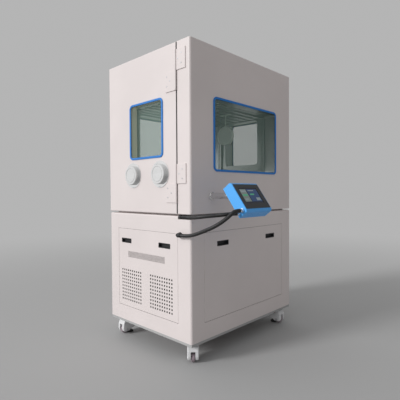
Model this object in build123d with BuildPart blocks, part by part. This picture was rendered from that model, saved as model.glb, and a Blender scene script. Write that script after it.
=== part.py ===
from build123d import *
import math
import os

os.makedirs("parts", exist_ok=True)

# Environmental test chamber: an insulated upper box with a side-hung door and
# windows, on a lower machine box with two lift-off panels and levelling casters.
# Millimetres, +Z up. The front is -Y, the door side is -X, the floor is Z = 0.

# Cabinet
WIDTH = 1040.0
DEPTH = 790.0
TOP = 1820.0
UPPER_BOTTOM = 848.0
LOWER_TOP = 838.0
LOWER_BOTTOM = 130.0
FRAME_BOTTOM = 112.0
WALL = 90.0
CORNER_RADIUS = 14.0
EDGE_RADIUS = 9.0
SHEET = 2.0

# Control head, tilted back on a spindle that lies along X
HEAD_TILT = 36.0
HEAD_X = 170.0
SPINDLE_REACH = 246.5
SPINDLE_Z = 951.0
HOUSING_WIDTH = 224.0
HOUSING_HIGH = 68.0
HOUSING_LOW = -116.0
PANEL_FACE = 30.0
HOUSING_BACK = -32.0
HOUSING_ROUND = 15.0
BEZEL_WIDTH = 212.0
BEZEL_HEIGHT = 152.0
BEZEL_MIDDLE = -23.0

# How far things stand out of the cabinet on each side
ELBOW_REACH = 34.5
SUPPLY_REACH = 24.0
LATCH_REACH = 28.0
TILT_SIN = math.sin(math.radians(HEAD_TILT))
TILT_COS = math.cos(math.radians(HEAD_TILT))
HEAD_REACH = (
    SPINDLE_REACH
    - (HOUSING_LOW + HOUSING_ROUND) * TILT_SIN
    + (PANEL_FACE - HOUSING_ROUND) * TILT_COS
    + HOUSING_ROUND
)

# The origin is under the middle of everything, so the cabinet stands off centre
LEFT = -(WIDTH + ELBOW_REACH + SUPPLY_REACH) / 2 + ELBOW_REACH
RIGHT = LEFT + WIDTH
FRONT = -(DEPTH + HEAD_REACH + LATCH_REACH) / 2 + HEAD_REACH
BACK = FRONT + DEPTH
MIDDLE_X = (LEFT + RIGHT) / 2
MIDDLE_Y = (FRONT + BACK) / 2

# Door and its hinges
STILE_END = 108.0
DOOR_START = 113.0
DOOR_THICKNESS = 58.0
FACE_FRAME = 70.0
HINGE_PIN_X = -6.0
HINGE_PIN_Y = 110.5
BARREL_RADIUS = 6.0
PIN_RADIUS = 3.0
RUNNING_GAP = 0.05
HINGE_LEAF = 5.0
LEAF_ROUND = 1.2
HINGES = [(1547.0, 1657.0, 1773.0), (913.0, 1021.0, 1132.0)]

# Chamber inside the insulation
CAVITY_BOTTOM = 935.0
CAVITY_TOP = 1732.0
CEILING = 1530.0
OPENING_START = 142.0
OPENING_END = 688.0

# Windows: middle along the face, middle height, width, height
FRONT_WINDOW = (518.0, 1310.5, 662.0, 435.0)
BACK_WINDOW = (518.0, 1310.5, 662.0, 435.0)
SIDE_WINDOW = (389.0, 1354.5, 326.0, 351.0)
WINDOW_RADIUS = 30.0
GASKET_WIDTH = 13.0
GASKET_PROUD = 5.0
GASKET_ROUND = 2.0
PANE = 5.0

# Ports through the door
PORT_YS = [257.0, 521.0]
PORT_Z = 1081.0
PORT_BORE = 50.0
PORT_SLEEVE = 53.0
PORT_FLANGE = 80.0
PLUG_RADIUS = 49.5
PLUG_DEPTH = 14.0
CAP_RADIUS = 60.0
CAP_REACH = 23.0
CAP_BEVEL = 3.0
CAP_GROOVE = 1.5

# Service panels: start, end, low, high on their faces
LEFT_PANEL = (107.0, 692.0, 224.0, 737.0)
FRONT_PANEL = (104.0, 928.0, 227.0, 742.0)
PANEL_GAP = 1.5
PANEL_DEPTH = 14.0
PANEL_ROUND = 1.6
PULL_WIDTH = 104.0
PULL_HEIGHT = 30.0
PULL_DEPTH = 18.0
LEFT_PULLS = [224.0, 602.0]
LEFT_PULL_Z = 658.5
FRONT_PULLS = [268.5, 770.5]
FRONT_PULL_Z = 668.5

# Notch in the lower box's rim, which takes the upper conduit round the corner
NOTCH_LENGTH = 105.0
NOTCH_DEPTH = 34.0
NOTCH_BOTTOM = 820.0

# Conduits, from the control head round the corner of the cabinet
CONDUIT_DIAMETER = 20.0
GLAND_RADIUS = 12.0
GLAND_LENGTH = 24.0
GLAND_LOW = -94.0
GLAND_DEPTHS = [8.0, -18.0]

# Supply gland in the right side of the lower box
SUPPLY_Y = 120.0
SUPPLY_Z = 190.0
SUPPLY_RADIUS = 16.0

# Levelling casters
CASTER_INSET_X = 82.0
CASTER_INSET_Y = 72.0
PLATE_SIDE = 92.0
PLATE_THICKNESS = 4.0
WHEEL_RADIUS = 26.0
WHEEL_WIDTH = 20.0
WHEEL_BACK = -26.0
WHEEL_CLEARANCE = 3.0
STEM_FORWARD = 20.0
STEM_RADIUS = 6.0
FOOT_RADIUS = 22.0
THUMBWHEEL_RADIUS = 34.0
THUMBWHEEL_LOW = 73.0
THUMBWHEEL_THICKNESS = 9.0
PAD_HEIGHT = 10.0
STEM_TOP = 85.0
# Name, side of the cabinet along X and Y, heading of the wheel in degrees
CASTERS = [
    ("front_left", -1, -1, 45.0),
    ("front_right", 1, -1, 90.0),
    ("back_left", -1, 1, 0.0),
    ("back_right", 1, 1, 135.0),
]


def front_face(depth):
    """Plane of the front face, set back by depth: x runs right, y up, out is -Y."""
    return Plane(origin=(0, FRONT + depth, 0), x_dir=(1, 0, 0), z_dir=(0, -1, 0))


def left_face(depth):
    """Plane of the door side, set back by depth: x runs along +Y, y up, in is +X."""
    return Plane(origin=(LEFT + depth, 0, 0), x_dir=(0, 1, 0), z_dir=(1, 0, 0))


def block(low, high, mode=Mode.ADD):
    """Box between two corners given from the cabinet's front left edge."""
    size = [b - a for a, b in zip(low, high)]
    middle = [(a + b) / 2 for a, b in zip(low, high)]
    with Locations((LEFT + middle[0], FRONT + middle[1], middle[2])):
        Box(*size, mode=mode)


def boards_around(face, window, first, last, start, end, low, high, gap=0.5):
    """Four boards round a window: face is x or y, first to last is the wall's depth."""
    middle, height, width, tall = window
    left, right = middle - width / 2, middle + width / 2
    under, over = height - tall / 2, height + tall / 2
    spans = [
        (start, end, low, under - gap),
        (start, end, over + gap, high),
        (start, left - gap, under, over),
        (right + gap, end, under, over),
    ]
    for a, b, z0, z1 in spans:
        if face == "y":
            block((a, first, z0), (b, last, z1))
        else:
            block((first, a, z0), (last, b, z1))


def write(part, label):
    """Label the finished piece and write it."""
    part.label = label
    export_step(part, f"parts/{label}.step")


# Welded base frame with a gusset over each caster
FRAME_INSET = 6.0
FRAME_RAIL = 60.0
RAIL_WALL = 4.0
GUSSET = 130.0
GUSSET_PLATE = 6.0
with BuildPart() as base_frame:
    with BuildSketch(Plane.XY.offset(FRAME_BOTTOM)):
        with Locations((MIDDLE_X, MIDDLE_Y)):
            Rectangle(WIDTH - 2 * FRAME_INSET, DEPTH - 2 * FRAME_INSET)
            Rectangle(
                WIDTH - 2 * FRAME_INSET - 2 * FRAME_RAIL,
                DEPTH - 2 * FRAME_INSET - 2 * FRAME_RAIL,
                mode=Mode.SUBTRACT,
            )
            Rectangle(FRAME_RAIL, DEPTH - 2 * FRAME_INSET)
            corner_x = WIDTH / 2 - FRAME_INSET - GUSSET / 2
            corner_y = DEPTH / 2 - FRAME_INSET - GUSSET / 2
            with GridLocations(2 * corner_x, 2 * corner_y, 2, 2):
                Rectangle(GUSSET, GUSSET)
    extrude(amount=LOWER_BOTTOM - FRAME_BOTTOM)
    # The rails are channels, open below, and each gusset is a plate
    with BuildSketch(Plane.XY.offset(FRAME_BOTTOM)):
        with Locations((MIDDLE_X, MIDDLE_Y)):
            Rectangle(
                WIDTH - 2 * FRAME_INSET - 2 * RAIL_WALL, DEPTH - 2 * FRAME_INSET - 2 * RAIL_WALL
            )
            Rectangle(
                WIDTH - 2 * FRAME_INSET - 2 * FRAME_RAIL + 2 * RAIL_WALL,
                DEPTH - 2 * FRAME_INSET - 2 * FRAME_RAIL + 2 * RAIL_WALL,
                mode=Mode.SUBTRACT,
            )
    extrude(amount=LOWER_BOTTOM - FRAME_BOTTOM - RAIL_WALL, mode=Mode.SUBTRACT)
    with Locations((MIDDLE_X, MIDDLE_Y, FRAME_BOTTOM + GUSSET_PLATE / 2)):
        with GridLocations(2 * corner_x, 2 * corner_y, 2, 2):
            Box(GUSSET, GUSSET, GUSSET_PLATE)
write(base_frame.part, "base_frame")

# Lower casing: rounded sheet box with two panel openings, exhaust louvres and a rim notch
FLANGE = 18.0
LIP = 8.0
LOUVRES = 14
LOUVRE_PITCH = 24.0
PLINTH = 40.0
PLINTH_RING = 30.0
tray = NOTCH_DEPTH + SHEET
with BuildPart() as lower_space:
    block(
        (SHEET, SHEET, LOWER_BOTTOM + SHEET),
        (WIDTH - SHEET, DEPTH - SHEET, LOWER_TOP - SHEET),
    )
    fillet(lower_space.edges().filter_by(Axis.Z), CORNER_RADIUS - SHEET)
    fillet(lower_space.edges().group_by(Axis.Z)[-1], EDGE_RADIUS - SHEET)
    # The rim's notch keeps a folded tray below it
    block(
        (0, 0, NOTCH_BOTTOM - SHEET), (tray, NOTCH_LENGTH + SHEET, LOWER_TOP), mode=Mode.SUBTRACT
    )
with BuildPart() as lower_casing:
    block((0, 0, LOWER_BOTTOM), (WIDTH, DEPTH, LOWER_TOP))
    fillet(lower_casing.edges().filter_by(Axis.Z), CORNER_RADIUS)
    fillet(lower_casing.edges().group_by(Axis.Z)[-1], EDGE_RADIUS)
    add(lower_space.part, mode=Mode.SUBTRACT)
    start, end, low, high = LEFT_PANEL
    block((SHEET, start - SHEET, low - SHEET), (FLANGE, end + SHEET, high + SHEET))
    block((-1, start, low), (PANEL_DEPTH, end, high), mode=Mode.SUBTRACT)
    block(
        (0, start + LIP, low + LIP), (FLANGE + 1, end - LIP, high - LIP), mode=Mode.SUBTRACT
    )
    start, end, low, high = FRONT_PANEL
    block((start - SHEET, SHEET, low - SHEET), (end + SHEET, FLANGE, high + SHEET))
    block((start, -1, low), (end, PANEL_DEPTH, high), mode=Mode.SUBTRACT)
    block(
        (start + LIP, 0, low + LIP), (end - LIP, FLANGE + 1, high - LIP), mode=Mode.SUBTRACT
    )
    # Exhaust louvres and the supply gland's hole in the right side
    with BuildSketch(left_face(WIDTH - 3 * SHEET)):
        with Locations((FRONT + DEPTH / 2, 420.0)):
            with GridLocations(0, LOUVRE_PITCH, 1, LOUVRES):
                Rectangle(430.0, 9.0)
        with Locations((FRONT + SUPPLY_Y, SUPPLY_Z)):
            Circle(SUPPLY_RADIUS)
    extrude(amount=5 * SHEET, mode=Mode.SUBTRACT)
    # Notch at the front left end of the rim
    block((-1, -1, NOTCH_BOTTOM), (NOTCH_DEPTH, NOTCH_LENGTH, LOWER_TOP + 1), mode=Mode.SUBTRACT)
    # Recessed plinth that carries the upper box
    block((PLINTH, PLINTH, LOWER_TOP - SHEET), (WIDTH - PLINTH, DEPTH - PLINTH, UPPER_BOTTOM))
    block(
        (PLINTH + PLINTH_RING, PLINTH + PLINTH_RING, LOWER_TOP),
        (WIDTH - PLINTH - PLINTH_RING, DEPTH - PLINTH - PLINTH_RING, UPPER_BOTTOM + 1),
        mode=Mode.SUBTRACT,
    )
write(lower_casing.part, "lower_casing")

# Upper casing: sheet box with the stile beside the door, windows and the door opening
with BuildPart() as upper_space:
    block(
        (FACE_FRAME + SHEET, SHEET, UPPER_BOTTOM + SHEET),
        (WIDTH - SHEET, DEPTH - SHEET, TOP - SHEET),
    )
    fillet(upper_space.edges().filter_by(Axis.Z).group_by(Axis.X)[-1], CORNER_RADIUS - SHEET)
with BuildPart() as stile_space:
    block(
        (SHEET, SHEET, UPPER_BOTTOM + SHEET),
        (FACE_FRAME + 2 * SHEET, STILE_END - SHEET, TOP - SHEET),
    )
    stile_edges = stile_space.edges().filter_by(Axis.Z).group_by(Axis.X)[0]
    fillet(stile_edges.sort_by(Axis.Y)[0], CORNER_RADIUS - SHEET)
with BuildPart() as upper_casing:
    block((FACE_FRAME, 0, UPPER_BOTTOM), (WIDTH, DEPTH, TOP))
    block((0, 0, UPPER_BOTTOM), (FACE_FRAME, STILE_END, TOP))
    upright = upper_casing.edges().filter_by(Axis.Z).filter_by(
        lambda edge: edge.center().Y < FRONT + 1 or edge.center().X > RIGHT - 1
    )
    fillet(upright, CORNER_RADIUS)
    fillet(upper_casing.edges().group_by(Axis.Z)[-1], 5.0)
    fillet(upper_casing.edges().group_by(Axis.Z)[0], 5.0)
    add(upper_space.part, mode=Mode.SUBTRACT)
    add(stile_space.part, mode=Mode.SUBTRACT)
    block(
        (FACE_FRAME - 1, OPENING_START, CAVITY_BOTTOM),
        (FACE_FRAME + 2 * SHEET, OPENING_END, CEILING),
        mode=Mode.SUBTRACT,
    )
    for window, depth in ((FRONT_WINDOW, -1.0), (BACK_WINDOW, DEPTH - 6.0)):
        with BuildSketch(front_face(depth)):
            with Locations((LEFT + window[0], window[1])):
                RectangleRounded(window[2] - 8, window[3] - 8, WINDOW_RADIUS - 4)
        extrude(amount=-8.0, mode=Mode.SUBTRACT)
    with BuildSketch(left_face(WIDTH - 6.0)):
        with Locations((FRONT + SIDE_WINDOW[0], SIDE_WINDOW[1])):
            RectangleRounded(SIDE_WINDOW[2] - 8, SIDE_WINDOW[3] - 8, WINDOW_RADIUS - 4)
    extrude(amount=8.0, mode=Mode.SUBTRACT)
write(upper_casing.part, "upper_casing")

# Foam boards in the walls, floor, roof and round the door opening
FOAM_GAP = 0.5
with BuildPart() as insulation:
    low, high = CAVITY_BOTTOM - 3, CAVITY_TOP + 3
    outer = CORNER_RADIUS / 2 - FOAM_GAP
    inner = WALL - 2.5
    boards_around("y", FRONT_WINDOW, outer, inner, 77, WIDTH - WALL, low, high)
    boards_around("y", BACK_WINDOW, DEPTH - inner, DEPTH - 3, 77, WIDTH - WALL, low, high)
    boards_around(
        "x", SIDE_WINDOW, WIDTH - inner, WIDTH - outer, outer, DEPTH - outer, low, high
    )
    block((74, outer, UPPER_BOTTOM + 3), (WIDTH - outer, DEPTH - outer, low - FOAM_GAP))
    block((74, outer, high + FOAM_GAP), (WIDTH - outer, DEPTH - outer, TOP - 3))
    block((outer, outer, UPPER_BOTTOM + 3), (73, STILE_END - 3, TOP - 3))
    # Jambs and head of the door opening
    block((77, inner + FOAM_GAP, low), (88.5, OPENING_START - 2.5, high))
    block((77, OPENING_END + 2.5, low), (88.5, DEPTH - inner - FOAM_GAP, high))
    block((77, OPENING_START - 2, CEILING + 4), (88.5, OPENING_END + 2, high))
write(insulation.part, "insulation")

# Stainless liner of the chamber and of the air space above its ceiling
with BuildPart() as chamber_liner:
    block(
        (FACE_FRAME + 4, WALL - 2, CAVITY_BOTTOM - 2),
        (WIDTH - WALL + 2, DEPTH - WALL + 2, CAVITY_TOP + 2),
    )
    block(
        (WALL + 1, WALL, CEILING),
        (WIDTH - WALL, DEPTH - WALL, CAVITY_TOP),
        mode=Mode.SUBTRACT,
    )
    block(
        (WALL + 1, WALL, CAVITY_BOTTOM),
        (WIDTH - WALL, DEPTH - WALL, CEILING + 1),
        mode=Mode.SUBTRACT,
    )
    block((0, OPENING_START, CAVITY_BOTTOM), (WALL + 2, OPENING_END, CEILING), mode=Mode.SUBTRACT)
    # Round the door opening the wall is foam behind a sheet
    foam_end = WALL - 1
    block((0, 0, 0), (foam_end, OPENING_START - 2, TOP), mode=Mode.SUBTRACT)
    block((0, OPENING_END + 2, 0), (foam_end, DEPTH, TOP), mode=Mode.SUBTRACT)
    block((0, 0, CEILING + 3), (foam_end, DEPTH, TOP), mode=Mode.SUBTRACT)
    for window, depth in ((FRONT_WINDOW, WALL - 6.0), (BACK_WINDOW, DEPTH - WALL - 2.0)):
        with BuildSketch(front_face(depth)):
            with Locations((LEFT + window[0], window[1])):
                RectangleRounded(window[2] - 8, window[3] - 8, WINDOW_RADIUS - 4)
        extrude(amount=-8.0, mode=Mode.SUBTRACT)
    with BuildSketch(left_face(WIDTH - WALL - 2.0)):
        with Locations((FRONT + SIDE_WINDOW[0], SIDE_WINDOW[1])):
            RectangleRounded(SIDE_WINDOW[2] - 8, SIDE_WINDOW[3] - 8, WINDOW_RADIUS - 4)
    extrude(amount=8.0, mode=Mode.SUBTRACT)
write(chamber_liner.part, "chamber_liner")

# Sheet reveals through the walls, panes at both ends and blue gaskets outside
REVEAL = 1.5
PANE_SET = 2.0
with BuildPart() as window_reveals:
    for window, depth in ((FRONT_WINDOW, 5.0), (BACK_WINDOW, DEPTH - WALL + 3.0)):
        for trim, mode in ((8.0, Mode.ADD), (8.0 + 2 * REVEAL, Mode.SUBTRACT)):
            with BuildSketch(front_face(depth)):
                with Locations((LEFT + window[0], window[1])):
                    RectangleRounded(window[2] - trim, window[3] - trim, WINDOW_RADIUS - 6)
            extrude(amount=-(WALL - 8.0), mode=mode)
    for trim, mode in ((8.0, Mode.ADD), (8.0 + 2 * REVEAL, Mode.SUBTRACT)):
        with BuildSketch(left_face(WIDTH - WALL + 3.0)):
            with Locations((FRONT + SIDE_WINDOW[0], SIDE_WINDOW[1])):
                RectangleRounded(SIDE_WINDOW[2] - trim, SIDE_WINDOW[3] - trim, WINDOW_RADIUS - 6)
        extrude(amount=WALL - 8.0, mode=mode)
write(window_reveals.part, "window_reveals")

GLASS_TRIM = 13.0
with BuildPart() as window_glass:
    for window, depths in (
        (FRONT_WINDOW, (PANE_SET, WALL - PANE - PANE_SET)),
        (BACK_WINDOW, (DEPTH - WALL + PANE_SET, DEPTH - PANE - PANE_SET)),
    ):
        for depth in depths:
            with BuildSketch(front_face(depth)):
                with Locations((LEFT + window[0], window[1])):
                    RectangleRounded(
                        window[2] - GLASS_TRIM, window[3] - GLASS_TRIM, WINDOW_RADIUS - 8
                    )
            extrude(amount=-PANE)
    for depth in (WIDTH - WALL + PANE_SET, WIDTH - PANE - PANE_SET):
        with BuildSketch(left_face(depth)):
            with Locations((FRONT + SIDE_WINDOW[0], SIDE_WINDOW[1])):
                RectangleRounded(
                    SIDE_WINDOW[2] - GLASS_TRIM, SIDE_WINDOW[3] - GLASS_TRIM, WINDOW_RADIUS - 8
                )
        extrude(amount=PANE)
write(window_glass.part, "window_glass")

with BuildPart() as window_gaskets:
    for window, depth, outward in ((FRONT_WINDOW, 0.0, 1), (BACK_WINDOW, DEPTH, -1)):
        with BuildSketch(front_face(depth)):
            with Locations((LEFT + window[0], window[1])):
                RectangleRounded(window[2], window[3], WINDOW_RADIUS)
                RectangleRounded(
                    window[2] - 2 * GASKET_WIDTH,
                    window[3] - 2 * GASKET_WIDTH,
                    WINDOW_RADIUS - GASKET_WIDTH,
                    mode=Mode.SUBTRACT,
                )
        extrude(amount=outward * GASKET_PROUD)
        bead = window_gaskets.faces().filter_by(Plane.XZ).sort_by(Axis.Y)
        fillet((bead[0] if outward > 0 else bead[-1]).edges(), GASKET_ROUND)
    with BuildSketch(left_face(WIDTH)):
        with Locations((FRONT + SIDE_WINDOW[0], SIDE_WINDOW[1])):
            RectangleRounded(SIDE_WINDOW[2], SIDE_WINDOW[3], WINDOW_RADIUS)
            RectangleRounded(
                SIDE_WINDOW[2] - 2 * GASKET_WIDTH,
                SIDE_WINDOW[3] - 2 * GASKET_WIDTH,
                WINDOW_RADIUS - GASKET_WIDTH,
                mode=Mode.SUBTRACT,
            )
    extrude(amount=GASKET_PROUD)
    fillet(window_gaskets.faces().filter_by(Plane.YZ).sort_by(Axis.X)[-1].edges(), GASKET_ROUND)
write(window_gaskets.part, "window_gaskets")

# Ceiling baffle: ribbed sheet with air slots that run along X
RIB_PITCH = 68.0
RIB_ROWS = 9
with BuildPart() as ceiling_baffle:
    block((WALL + 4, WALL + 2, CEILING + 4), (WIDTH - WALL - 2, DEPTH - WALL - 2, CEILING + 6))
    with Locations((MIDDLE_X + 6, MIDDLE_Y, CEILING + 1)):
        with GridLocations(0, RIB_PITCH, 1, RIB_ROWS):
            Box(WIDTH - 2 * WALL - 40, 26.0, 6.0)
    with Locations((MIDDLE_X + 6, MIDDLE_Y, CEILING + 4)):
        with GridLocations(390.0, RIB_PITCH, 2, RIB_ROWS - 1):
            Box(340.0, 12.0, 20.0, mode=Mode.SUBTRACT)
write(ceiling_baffle.part, "ceiling_baffle")

# Slotted shelf uprights on the end wall and beside the door, with the shelf's pegs
UPRIGHT_SLOTS = 14
SLOT_PITCH = 36.0
SHELF_Z = 1000.0
with BuildPart() as shelf_uprights:
    for y in (176.0, 598.0):
        block((WIDTH - WALL - 16, y - 17, 950), (WIDTH - WALL, y + 17, CEILING - 12))
        block((WIDTH - WALL - 14, y - 15, 949), (WIDTH - WALL + 1, y + 15, CEILING), Mode.SUBTRACT)
        for k in range(UPRIGHT_SLOTS):
            z = 1240.0 + (k - UPRIGHT_SLOTS / 2 + 0.5) * SLOT_PITCH
            block((WIDTH - WALL - 18, y - 5, z - 9), (WIDTH - WALL - 13, y + 5, z + 9), Mode.SUBTRACT)
        block((WIDTH - WALL - 40, y - 10, SHELF_Z - 8), (WIDTH - WALL - 14, y + 10, SHELF_Z))
    for y0, y1, inward in ((WALL, WALL + 14, 1), (DEPTH - WALL - 14, DEPTH - WALL, -1)):
        block((104, y0, 950), (134, y1, CEILING - 12))
        middle = (y0 + y1) / 2 + inward * 16
        block((108, middle - 12, SHELF_Z - 8), (130, middle + 12, SHELF_Z))
write(shelf_uprights.part, "shelf_uprights")

# Wire shelf low in the chamber, resting on the pegs
SHELF_WIRES = 26
SHELF_LENGTH = 826.0
SHELF_DEPTH = 560.0
with BuildPart() as wire_shelf:
    with BuildSketch(Plane.XY.offset(SHELF_Z)):
        with Locations((LEFT + 519.0, MIDDLE_Y)):
            Rectangle(SHELF_LENGTH, SHELF_DEPTH)
            Rectangle(SHELF_LENGTH - 12, SHELF_DEPTH - 12, mode=Mode.SUBTRACT)
            with GridLocations(SHELF_LENGTH / SHELF_WIRES, 0, SHELF_WIRES - 1, 1):
                Rectangle(4.0, SHELF_DEPTH - 6)
            with GridLocations(0, SHELF_DEPTH / 3, 1, 2):
                Rectangle(SHELF_LENGTH - 6, 6.0)
    extrude(amount=5.0)
write(wire_shelf.part, "wire_shelf")

# Fan motor under the roof of the air space, with its shaft down
FAN_X = 300.0
FAN_Z = 1592.0
FAN_RADIUS = 120.0
MOTOR_SHAFT = 6.0
with BuildPart() as fan_motor:
    with BuildSketch(Plane.XY.offset(1650.0)):
        with Locations((LEFT + FAN_X, MIDDLE_Y)):
            Circle(52.0)
    extrude(amount=CAVITY_TOP - 1650.0)
    chamfer(fan_motor.edges().group_by(Axis.Z)[0], 8.0)
    with BuildSketch(Plane.XY.offset(FAN_Z)):
        with Locations((LEFT + FAN_X, MIDDLE_Y)):
            Circle(MOTOR_SHAFT)
    extrude(amount=70.0)
write(fan_motor.part, "fan_motor")

# Circulation fan: hub and eight pitched blades on the motor shaft
FAN_BLADES = 8
with BuildPart() as circulation_fan:
    with BuildSketch(Plane.XY.offset(FAN_Z)):
        with Locations((LEFT + FAN_X, MIDDLE_Y)):
            Circle(26.0)
    extrude(amount=34.0)
    with Locations((LEFT + FAN_X, MIDDLE_Y, FAN_Z + 17.0)):
        with PolarLocations(68.0, FAN_BLADES):
            Box(92.0, 30.0, 2.5, rotation=(28, 0, 0))
    with BuildSketch(Plane.XY.offset(FAN_Z - 1)):
        with Locations((LEFT + FAN_X, MIDDLE_Y)):
            Circle(MOTOR_SHAFT + RUNNING_GAP)
    extrude(amount=40.0, mode=Mode.SUBTRACT)
write(circulation_fan.part, "circulation_fan")

# Evaporator: fin pack with header tubes
FINS = 15
FIN_PITCH = 19.0
with BuildPart() as evaporator_coil:
    with Locations((LEFT + 700.0, MIDDLE_Y, 1620.0)):
        with GridLocations(FIN_PITCH, 0, FINS, 1):
            Box(1.5, 520.0, 130.0)
    for y in (-200.0, -70.0, 70.0, 200.0):
        with Locations((LEFT + 700.0, MIDDLE_Y + y, 1620.0)):
            Box((FINS + 1) * FIN_PITCH, 18.0, 6.0)
    for x in (548.0, 849.0):
        block((x, 135, CEILING + 6), (x + 3, 655, CAVITY_TOP))
write(evaporator_coil.part, "evaporator_coil")

# Heater: five sheathed rods between two end blocks
with BuildPart() as heater_coil:
    for y in (120.0, 640.0):
        block((470, y, CEILING + 6), (520, y + 20, 1690))
    for z in (1575.0, 1600.0, 1625.0, 1650.0, 1675.0):
        with Locations((LEFT + 495.0, MIDDLE_Y - 5, z)):
            Cylinder(4.0, 520.0, rotation=(90, 0, 0))
write(heater_coil.part, "heater_coil")

# Dial instrument hung from the ceiling, facing the door
DIAL_X = 640.0
DIAL_Y = 295.0
DIAL_Z = 1378.0
DIAL_RADIUS = 67.0
with BuildPart() as hanging_dial:
    with BuildSketch(left_face(DIAL_X)):
        with Locations((FRONT + DIAL_Y, DIAL_Z)):
            Circle(DIAL_RADIUS)
    extrude(amount=24.0)
    with BuildSketch(left_face(DIAL_X)):
        with Locations((FRONT + DIAL_Y, DIAL_Z)):
            Circle(DIAL_RADIUS - 6.0)
    extrude(amount=3.0, mode=Mode.SUBTRACT)
    rod_start = DIAL_Z + DIAL_RADIUS - 3
    rod_end = CEILING - 4
    with Locations((LEFT + DIAL_X + 12.0, FRONT + DIAL_Y, (rod_start + rod_end) / 2)):
        Cylinder(2.5, rod_end - rod_start)
    block((DIAL_X, DIAL_Y - 44, rod_end), (DIAL_X + 24, DIAL_Y + 44, CEILING - 2))
write(hanging_dial.part, "hanging_dial")

# Frame halves of the two hinges, each with its barrel and the pin riveted in it
with BuildPart() as hinge_frame_leaves:
    for low, split, high in HINGES:
        block((-HINGE_LEAF, 33.0, split + 0.2), (0, HINGE_PIN_Y - 2, high))
    fillet(hinge_frame_leaves.faces().group_by(Axis.X)[0].edges(), LEAF_ROUND)
    for low, split, high in HINGES:
        with Locations((LEFT + HINGE_PIN_X, FRONT + HINGE_PIN_Y, (split + high) / 2 + 0.1)):
            Cylinder(BARREL_RADIUS, high - split - 0.2)
        with Locations((LEFT + HINGE_PIN_X, FRONT + HINGE_PIN_Y, (low + high) / 2)):
            Cylinder(PIN_RADIUS, high - low)
write(hinge_frame_leaves.part, "hinge_frame_leaves")

with BuildPart() as hinge_door_leaves:
    for low, split, high in HINGES:
        block((-HINGE_LEAF, HINGE_PIN_Y + 2, low), (0, 198.0, split - 0.2))
    fillet(hinge_door_leaves.faces().group_by(Axis.X)[0].edges(), LEAF_ROUND)
    for low, split, high in HINGES:
        with Locations((LEFT + HINGE_PIN_X, FRONT + HINGE_PIN_Y, (low + split) / 2 - 0.1)):
            Cylinder(BARREL_RADIUS, split - low - 0.2)
        with Locations((LEFT + HINGE_PIN_X, FRONT + HINGE_PIN_Y, (low + split) / 2)):
            Cylinder(PIN_RADIUS + RUNNING_GAP, split - low + 2, mode=Mode.SUBTRACT)
write(hinge_door_leaves.part, "hinge_door_leaves")

# Door: skin, foam boards, liner with a raised pan, and the seal round it
with BuildPart() as door_skin:
    block((0, DOOR_START, UPPER_BOTTOM), (DOOR_THICKNESS, DEPTH, TOP))
    fillet(door_skin.faces().sort_by(Axis.X)[0].edges(), 6.0)
    block(
        (SHEET, DOOR_START + SHEET, UPPER_BOTTOM + SHEET),
        (DOOR_THICKNESS + 1, DEPTH - SHEET, TOP - SHEET),
        mode=Mode.SUBTRACT,
    )
    with BuildSketch(left_face(-1)):
        with Locations((FRONT + SIDE_WINDOW[0], SIDE_WINDOW[1])):
            RectangleRounded(SIDE_WINDOW[2] - 8, SIDE_WINDOW[3] - 8, WINDOW_RADIUS - 4)
        for y in PORT_YS:
            with Locations((FRONT + y, PORT_Z)):
                Circle(PORT_SLEEVE)
    extrude(amount=6.0, mode=Mode.SUBTRACT)
write(door_skin.part, "door_skin")

FOAM_IN = 3.0
FOAM_OUT = DOOR_THICKNESS - 3.0
PORT_POCKET = 56.0
with BuildPart() as door_insulation:
    start, end = DOOR_START + 3, DEPTH - 3
    under = SIDE_WINDOW[1] - SIDE_WINDOW[3] / 2
    boards_around("x", SIDE_WINDOW, FOAM_IN, FOAM_OUT, start, end, PORT_Z + PORT_POCKET, TOP - 3)
    block((FOAM_IN, start, UPPER_BOTTOM + 3), (FOAM_OUT, end, PORT_Z - PORT_POCKET - FOAM_GAP))
    edges_y = [start, PORT_YS[0] - PORT_POCKET, PORT_YS[0] + PORT_POCKET]
    edges_y += [PORT_YS[1] - PORT_POCKET, PORT_YS[1] + PORT_POCKET, end]
    for a, b in zip(edges_y[0::2], edges_y[1::2]):
        block(
            (FOAM_IN, a, PORT_Z - PORT_POCKET),
            (FOAM_OUT, b, PORT_Z + PORT_POCKET - FOAM_GAP),
        )
write(door_insulation.part, "door_insulation")

PAN_RISE = 10.0
with BuildPart() as door_liner:
    block(
        (DOOR_THICKNESS - 2, DOOR_START + 3, UPPER_BOTTOM + 3),
        (DOOR_THICKNESS, DEPTH - 3, TOP - 3),
    )
    block((DOOR_THICKNESS, 150, CAVITY_BOTTOM + 40), (DOOR_THICKNESS + PAN_RISE, 650, CEILING - 8))
    fillet(door_liner.faces().sort_by(Axis.X)[-1].edges(), 5.0)
    block(
        (DOOR_THICKNESS - 3, 152, CAVITY_BOTTOM + 42),
        (DOOR_THICKNESS + PAN_RISE - 2, 648, CEILING - 10),
        mode=Mode.SUBTRACT,
    )
    with BuildSketch(left_face(DOOR_THICKNESS - 4)):
        with Locations((FRONT + SIDE_WINDOW[0], SIDE_WINDOW[1])):
            RectangleRounded(SIDE_WINDOW[2] - 8, SIDE_WINDOW[3] - 10, WINDOW_RADIUS - 4)
        for y in PORT_YS:
            with Locations((FRONT + y, PORT_Z)):
                Circle(PORT_SLEEVE)
    extrude(amount=20.0, mode=Mode.SUBTRACT)
write(door_liner.part, "door_liner")

SEAL_WIDTH = 16.0
with BuildPart() as door_seal:
    block((DOOR_THICKNESS, 119, 905), (FACE_FRAME - 0.4, 710, 1560))
    block(
        (DOOR_THICKNESS - 1, 119 + SEAL_WIDTH, 905 + SEAL_WIDTH),
        (FACE_FRAME + 1, 710 - SEAL_WIDTH, 1560 - SEAL_WIDTH),
        mode=Mode.SUBTRACT,
    )
write(door_seal.part, "door_seal")

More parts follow.
